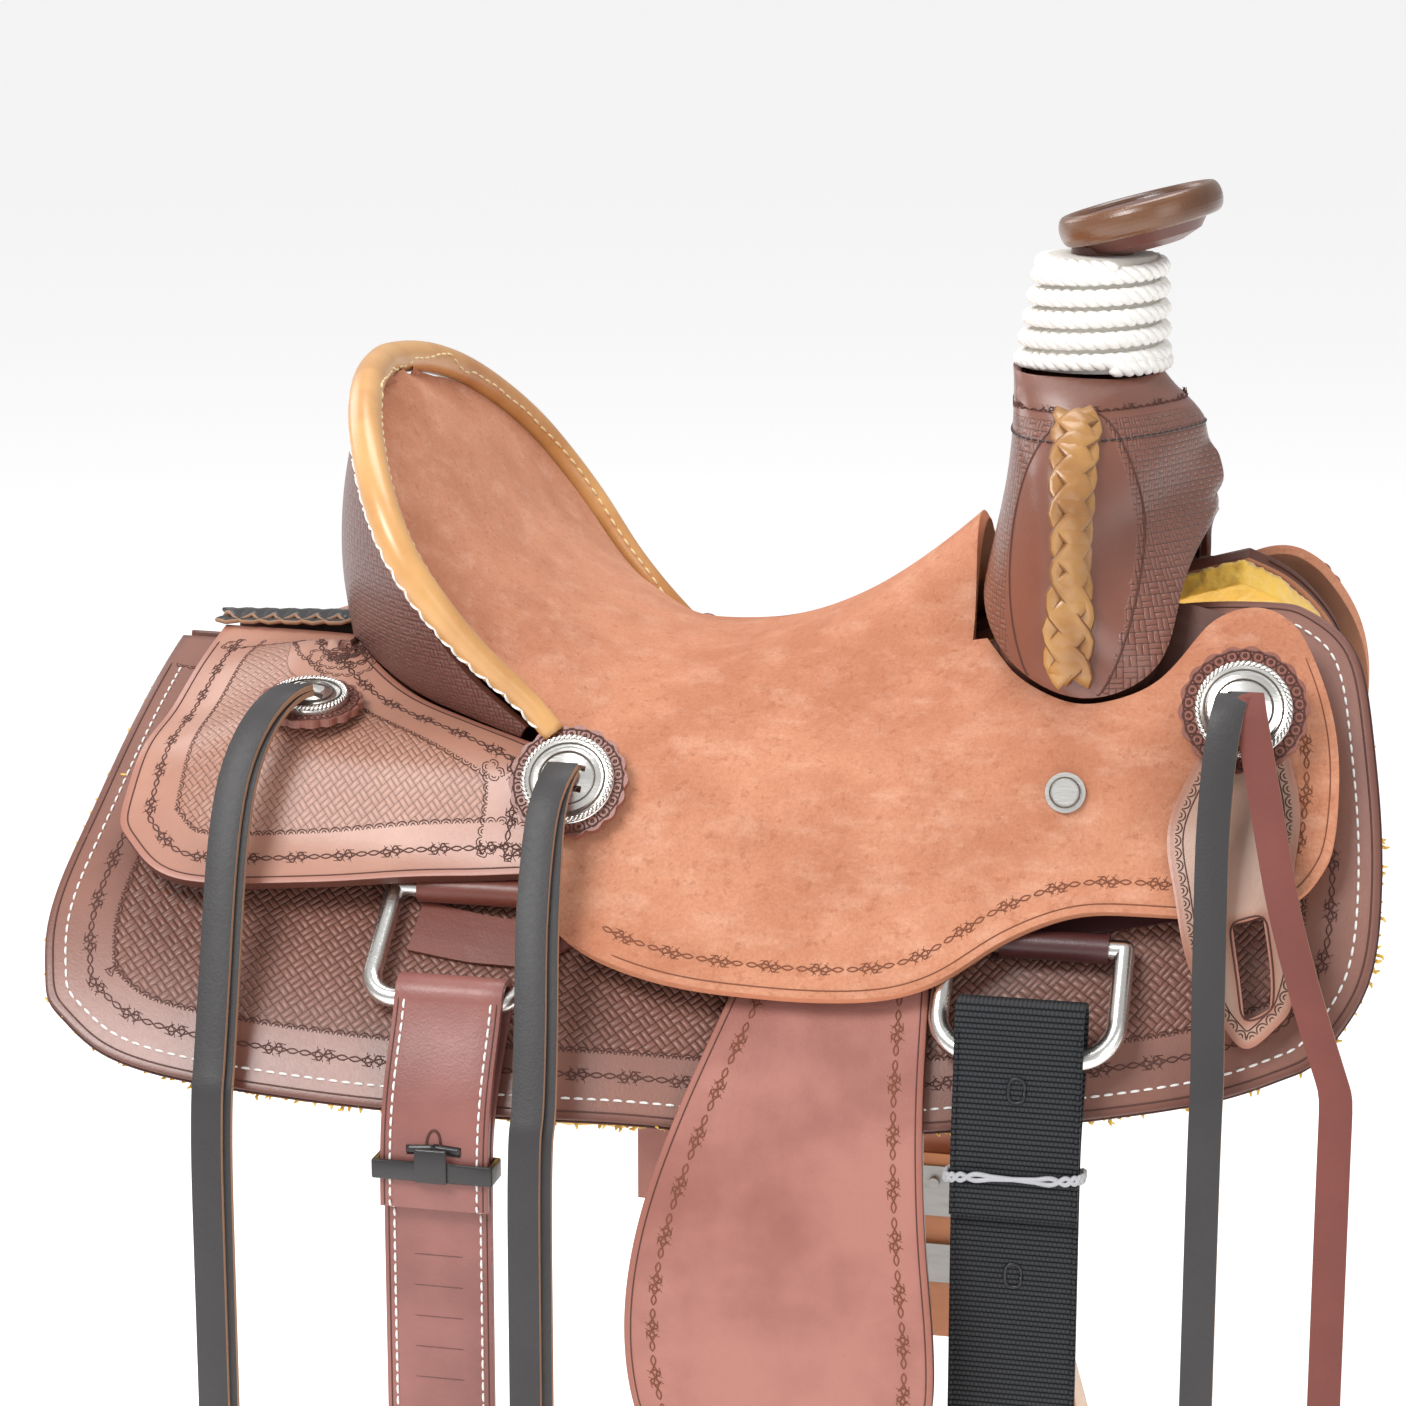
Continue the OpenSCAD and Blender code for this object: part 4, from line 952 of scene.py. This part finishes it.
fork_field()
for tag, side in SIDES:
    z = np.linspace(lace_lo.z + 0.001, lace_hi.z + 0.004, 60)
    run = outside(fork_skin, side, [(0.172 - 0.004 * k / 59, v) for k, v in enumerate(z)])
    braid("fork_lacing_" + tag, run, "fork_lacing", 0.0215, 0.0030, 0.034, [LACE, LACE_DARK], strand_w=0.50,
          lift=0.0006)
    ring = outside(fork_skin, side, oval(0.170, lace_mid_z - 0.004, 0.026, lace_half_z + 0.010, 120))
    tubes("fork_panel_" + tag, [ring], 0.0005, GROOVE, "fork_cover")
NODES["fork_lacing"].hide_render = True
NODES["fork_lacing"].hide_viewport = True
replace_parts(bpy.data.objects["fork_lacing_off"], "fork_lacing")


def neck_ring(z, count=220):
    """A level ring round the neck of the fork."""
    ways = [Vector((c, s, 0)) for c, s in circle(count)]
    at, up = fork_skin.cast([Vector((0.166, 0, z)) + way * 0.2 for way in ways], [-way for way in ways])
    return at, up, np.tile([0.0, 0.0, -1.0], (len(at), 1))


neck_z = fork_hi.z
tooling("fork_neck_barbs", fork_skin, 0, wire_motif(0.0180), 0.0185, GROOVE, "fork_cover",
        path=neck_ring(neck_z - 0.0125))
stitches("fork_neck_stitches", neck_ring(neck_z - 0.0225)[:2], "fork_cover", 0.0040, BLACK,
         bead(0.0030, 0.0010, 0.0009))
tooling("fork_neck_scallops", fork_skin, 0, scallop_motif(0.0046), 0.0046, GROOVE, "fork_cover",
        path=neck_ring(neck_z - 0.0215), radius=0.00026)

# ---- horn ----
wrap_lo, wrap_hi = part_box("horn_wrap")
HORN_LEAN = math.tan(math.radians(4))
ROPE_TURNS, ROPE_TWIST, ROPE_STRANDS = 6.0, 0.0145, 3


def neck_centre(z):
    """x of the horn's neck at that height; it leans a little forward."""
    return 0.166 + (z - 0.1528) * HORN_LEAN


def rope_wrap():
    """Twisted cotton rope wound round the neck of the horn; its ends lie level."""
    bottom, top = wrap_lo.z + 0.0032, wrap_hi.z - 0.0045
    steps = int(ROPE_TURNS * 90)
    rope_r = (top - bottom) / ROPE_TURNS / 2 * 1.04
    centre, ups = [], []
    for i in range(steps + 1):
        t = i / steps
        a = math.tau * ROPE_TURNS * t - 1.2
        lift = min(1, max(0, (ROPE_TURNS * t - 0.7) / (ROPE_TURNS - 1.4)))
        z = bottom + rope_r * 0.4 + (top - bottom - rope_r * 0.8) * lift
        r = 0.0300 + (0.0238 - 0.0300) * t
        centre.append((neck_centre(z) + r * math.cos(a), r * math.sin(a), z))
        ups.append((math.cos(a), math.sin(a), 0))
    centre, ups = np.array(centre), np.array(ups)
    b = np.cross(tangents(centre, False), ups)
    d = run_length(centre)
    paths = []
    for k in range(ROPE_STRANDS):
        turn = (math.tau * (d / ROPE_TWIST + k / ROPE_STRANDS))[:, None]
        paths.append((centre + (ups * np.cos(turn) + b * np.sin(turn)) * rope_r * 0.50, ups))
    return tubes("horn_rope", paths, rope_r * 0.56, ROPE, "horn_wrap", sides=7)


def rope_core(rings=12, sides=40):
    """A pale tapered plug, so that no gap shows between the turns."""
    verts = []
    for i in range(rings):
        t = i / (rings - 1)
        z = wrap_lo.z + 0.002 + (wrap_hi.z - wrap_lo.z - 0.004) * t
        r = 0.0285 + (0.0225 - 0.0285) * t
        verts += [(neck_centre(z) + r * c, r * s, z) for c, s in circle(sides)]
    shadow = plain("rope_shadow", (0.62, 0.59, 0.54), 0.9)
    add_mesh("horn_rope_core", verts, ring_faces(0, rings, sides), shadow, "horn_wrap")


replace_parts(rope_wrap(), "horn_wrap")
rope_core()
paint("horn_cap", BURGUNDY)
paint("horn_cap_rim", AMBER)

# ---- black braid behind the cantle ----
plait_lo, plait_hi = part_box("jockey_lacing")
line = [(plait_lo.x + (plait_hi.x - plait_lo.x) * t, 0, plait_hi.z - 0.0062 + (0.002 * t))
        for t in np.linspace(0, 1, 30)]
lacing = braid("jockey_lacing_braid", (np.array(line), np.tile([0, 0, 1.0], (30, 1))), "jockey_lacing",
               0.0245, 0.0028, 0.030, [BLACK, STRING_EDGE], strand_w=0.5)
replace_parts(lacing, "jockey_lacing")

# ---- rigging ----
for tag, side in SIDES:
    paint("rigging_front_" + tag, ROLL)
    paint("rigging_rear_" + tag, RIGGING)
    for end in ("front", "rear"):
        paint(end + "_dee_" + tag, STEEL)


# ---- conchos and rosettes ----
def discs_of(node):
    """Top centre, outward direction and radius of each separate disc of a node."""
    bm = bmesh.new()
    bm.from_mesh(NODES[node].data)
    bmesh.ops.remove_doubles(bm, verts=bm.verts, dist=1e-5)
    discs = []
    for group in flood(bm.verts, lambda v: (e.other_vert(v) for e in v.link_edges)):
        points = np.array([np.array(v.co) for v in group])
        mid = points.mean(0)
        _, _, axes = np.linalg.svd(points - mid, full_matrices=False)
        out = axes[2] * (1 if axes[2][2] > 0 else -1)
        radius = np.linalg.norm((points - mid) @ axes[:2].T, axis=1).max()
        discs.append((mid + out * ((points @ out).max() - mid @ out), out, radius))
    bm.free()
    return discs


def across_disc(out):
    x = np.cross([0, 1, 0], out)
    x /= np.linalg.norm(x)
    return x, np.cross(out, x)


def ring_path(mid, out, radius, count=72):
    x, y = across_disc(out)
    turn = [math.tau * i / count for i in range(count + 1)]
    pts = [mid + x * (radius * math.cos(a)) + y * (radius * math.sin(a)) for a in turn]
    return np.array(pts), np.tile(out, (count + 1, 1))


def tooled_rosettes():
    """A ring inside each scalloped rim, and a row of dotted circles along it."""
    circles, rims = [], []
    for top, out, radius in discs_of("rosettes"):
        rims.append(ring_path(top, out, radius - 0.0022))
        count = 26 if radius > 0.025 else 22
        x, y = across_disc(out)
        for c, s in circle(count):
            mid = top + (x * c + y * s) * (radius - 0.0040)
            circles += [ring_path(mid, out, 0.0023, 12), ring_path(mid, out, 0.0006, 6)]
    tubes("rosette_rings", circles, 0.00038, GROOVE, "rosettes", sides=4)
    tubes("rosette_rims", rims, 0.00035, GROOVE, "rosettes", sides=4)


def engraved_conchos():
    """A two-strand rope edge over a dark ring, and three engraved rings."""
    strands, dark, rings = [], [], []
    for top, out, radius in discs_of("conchos"):
        x, y = across_disc(out)
        level, rim = top - out * 0.0030, radius - 0.0013
        for k in range(2):
            pts = []
            for i in range(241):
                a = math.tau * i / 240
                turn = 26 * a + math.pi * k
                r = rim + 0.0006 * math.cos(turn)
                pts.append(level + (x * math.cos(a) + y * math.sin(a)) * r + out * 0.0006 * math.sin(turn))
            strands.append((np.array(pts), np.tile(out, (241, 1))))
        rings += [ring_path(level + out * up, out, radius * share)
                  for share, up in ((0.80, 0.0006), (0.60, 0.0010), (0.34, 0.0016))]
        dark.append(ring_path(level - out * 0.0002, out, rim))
    tubes("concho_rope_edges", strands, 0.00072, SILVER, "conchos", sides=6)
    tubes("concho_twists", dark, 0.0011, ENGRAVED, "conchos", sides=6)
    tubes("concho_rings", rings, 0.00036, ENGRAVED, "conchos", sides=4)


paint("rosettes", ROSETTE)
paint("conchos", SILVER)
tooled_rosettes()
engraved_conchos()
for top, out, radius in discs_of("seat_screws"):
    tubes(f"seat_screw_ring_{len(bpy.data.objects)}", [ring_path(top, out, radius * 0.74, 40)], 0.0003,
          ENGRAVED, "seat_screws", sides=4)
paint("seat_screws", SILVER)

# ---- keepers ----
for tag, side in SIDES:
    node = "latigo_keeper_" + tag
    skin = Skin(smooth_copy(node, [KEEPER, EDGE, FLESH]))
    tooling(node + "_scallops", skin, 0.0030, scallop_motif(0.0052), 0.0052, GROOVE, node, radius=0.0003)
    line_on(node + "_groove", skin.inset(0.0062), GROOVE, node, 0.0003)
    if len(skin.loops) > 1:
        line_on(node + "_slot", skin.inset(0.0012, 1), GROOVE, node, 0.0004)

# ---- fenders, leathers and stirrups ----
for tag, side in SIDES:
    node = "fender_" + tag
    skin = Skin(smooth_copy(node, [FENDER, EDGE, FLESH]))
    tooling(node + "_barbs", skin, 0.0115, wire_motif(0.0190), 0.0205, GROOVE_SUEDE, node, radius=0.00032)
    line_on(node + "_groove", skin.inset(0.0028), GROOVE, node, 0.0003)
    smooth_copy("stirrup_leather_" + tag, [STRAP, EDGE, FLESH], levels=1, bevel=0.0004)
    smooth_copy("stirrup_" + tag, [RAWHIDE] * 3, bevel=0, sharp=50)
    for n in ("stirrup_bolt_", "buckle_plate_", "buckle_sleeve_"):
        paint(n + tag, ZINC)


# ---- billets, latigo and strings ----
def rows_on(skin, side, xs, top, bottom, step=0.002):
    """Vertical rows on the outer face of a hanging strap, at each x."""
    rows = [outside(skin, side, [(x, z) for z in np.arange(top, bottom, -step)]) for x in xs]
    return [row for row in rows if len(row[0]) > 4]


def off_billet():
    node = "off_billet"
    skin = Skin(smooth_copy(node, [NYLON] * 3, bevel=0.0006, sharp=60), all_faces=True)
    lo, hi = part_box(node)
    mid_x = (lo.x + hi.x) / 2
    slots = [outside(skin, -1, oval(mid_x, z, 0.0032, 0.0048, 24, 0.5))
             for z in np.arange(hi.z - 0.034, lo.z + 0.02, -0.076)]
    tubes(node + "_slots", slots, 0.0008, plain("slot_weld", (0.012, 0.012, 0.012), 0.35), node)
    selvage = rows_on(skin, -1, (lo.x + 0.0012, hi.x - 0.0012), hi.z - 0.012, lo.z + 0.001)
    tubes(node + "_selvage", selvage, 0.0009, NYLON, node, flat=0.7)


def rear_billet(tag, side):
    """Sewn edges, a slot, the tie's knot below it and faint stamped rungs."""
    node = "rear_billet_" + tag
    skin = Skin(smooth_copy(node, [BILLET] * 3, bevel=0.0005, sharp=60), all_faces=True)
    lo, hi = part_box(node)
    mid_x = (lo.x + hi.x) / 2
    for k, row in enumerate(rows_on(skin, side, (lo.x + 0.0042, hi.x - 0.0042), hi.z - 0.010, lo.z + 0.004)):
        stitches(f"{node}_stitches_{k}", row, node, 0.0046, closed=False)
    creases = rows_on(skin, side, (lo.x + 0.0018, hi.x - 0.0018), hi.z - 0.008, lo.z + 0.002)
    tubes(node + "_creases", creases, 0.0003, GROOVE, node, taper=True)
    slot = outside(skin, side, oval(mid_x, hi.z - 0.060, 0.0028, 0.0052, 20))
    tubes(node + "_slot", [slot], 0.0006, GROOVE, node)
    tie_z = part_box("billet_keeper_" + tag)[1].z - 0.002
    slot_z = hi.z - 0.062
    knot = [outside(skin, side, [(mid_x + way * 0.011 * (1 - t), tie_z + (slot_z - tie_z) * t)
                                 for t in np.linspace(0, 1, 9)]) for way in (-1, 1)]
    tubes(node + "_knot", knot, 0.0021, BLACK, node, flat=0.5)
    rungs = [outside(skin, side, [(x, z) for x in np.linspace(lo.x + 0.012, hi.x - 0.012, 8)])
             for z in np.arange(min(tie_z, hi.z) - 0.045, lo.z + 0.02, -0.013)]
    tubes(node + "_rungs", [row for row in rungs if len(row[0]) > 3], 0.00022, EDGE, node, taper=True)


def band_wire(k):
    """One of two wires twisted round the off billet, as a rounded box."""
    lo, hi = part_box("billet_band")
    mid = (lo + hi) / 2
    rx, ry = (hi.x - lo.x) / 2 - 0.001, (hi.y - lo.y) / 2 - 0.0008
    pts = []
    for i in range(161):
        a = math.tau * i / 160
        turn = math.tau * i / 16 + math.pi * k
        pts.append((mid.x + rx * squared(math.cos(a), 0.35), mid.y + ry * squared(math.sin(a), 0.35),
                    mid.z + 0.0013 * math.sin(turn) + 0.0016 * math.cos(a)))
    return tubes(f"billet_band_wire_{k}", [(np.array(pts), np.tile([0, 0, 1.0], (161, 1)))], 0.0010, TIE,
                 "billet_band", sides=6)


# x between the two strands of a front string
STRAND_SPLIT_X = 0.2422


def string_faces(obj, side, turned):
    """Grain outside, flesh inside and raw edges; turned shows the flesh of the forward strand."""
    for f in obj.data.polygons:
        grain = f.normal.y * side + 0.6 * f.normal.z > 0
        if turned and f.center.x > STRAND_SPLIT_X:
            grain = not grain
        f.material_index = 1 if abs(f.normal.x) > 0.72 else (0 if grain else 2)


off_billet()
smooth_copy("latigo", [STRAP] * 3, bevel=0.0005, sharp=60)
for tag, side in SIDES:
    rear_billet(tag, side)
for k in range(2):
    tie = band_wire(k)
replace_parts(tie, "billet_band")
for tag, side in SIDES:
    for end in ("rear", "mid", "front"):
        obj = smooth_copy(f"string_{end}_{tag}", [STRING, STRING_EDGE, STRING_RED], levels=1, bevel=0.0003,
                          sharp=60)
        string_faces(obj, side, end == "front")
    smooth_copy("billet_keeper_" + tag, [BLACK] * 3, levels=0, bevel=0.0008)

# ---- floor, light and camera ----
lo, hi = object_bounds()
bpy.ops.mesh.primitive_plane_add(size=90, location=(0, 0, lo.z - 0.002))
floor = bpy.context.object
floor.name = "floor"
floor_paint = Shader("pale_floor", Roughness=0.9, Base_Color=(0.90, 0.90, 0.90, 1),
                     Emission_Color=(1, 1, 1, 1), Emission_Strength=0.48)
floor.data.materials.append(floor_paint.material)

world = bpy.data.worlds.new("studio")
bpy.context.scene.world = world
world.use_nodes = True
world.node_tree.nodes["Background"].inputs["Color"].default_value = (1, 1, 1, 1)
world.node_tree.nodes["Background"].inputs["Strength"].default_value = 0.46


AIM = Vector((0.02, 0, 0))


def softbox(name, place, size, power):
    """A soft rectangular lamp that faces the middle of the saddle."""
    light = bpy.data.lights.new(name, "AREA")
    light.shape = "RECTANGLE"
    light.size, light.size_y = size
    light.energy = power
    obj = new_object(name, light)
    obj.location = place
    obj.rotation_euler = (AIM - Vector(place)).to_track_quat("-Z", "Y").to_euler()


softbox("key", (-0.9, -1.7, 1.9), (1.2, 0.9), 54)
softbox("fill", (1.6, -1.6, 0.7), (1.2, 1.4), 9)
softbox("top", (0.1, 0.5, 2.1), (1.4, 1.0), 24)
softbox("rim", (-1.6, 0.9, 1.0), (0.9, 1.2), 9)

camera = bpy.data.cameras.new("camera")
eye = new_object("camera", camera)
azimuth, elevation, distance = math.radians(13), math.radians(13), 1.6
toward = Vector((math.sin(azimuth) * math.cos(elevation), -math.cos(azimuth) * math.cos(elevation),
                 math.sin(elevation)))
eye.location = toward * distance
eye.rotation_euler = (-toward).to_track_quat("-Z", "Y").to_euler()
camera.sensor_width = 36
camera.lens = 94.2
camera.clip_end = 50
bpy.context.scene.camera = eye
bpy.context.scene.view_settings.view_transform = "Standard"
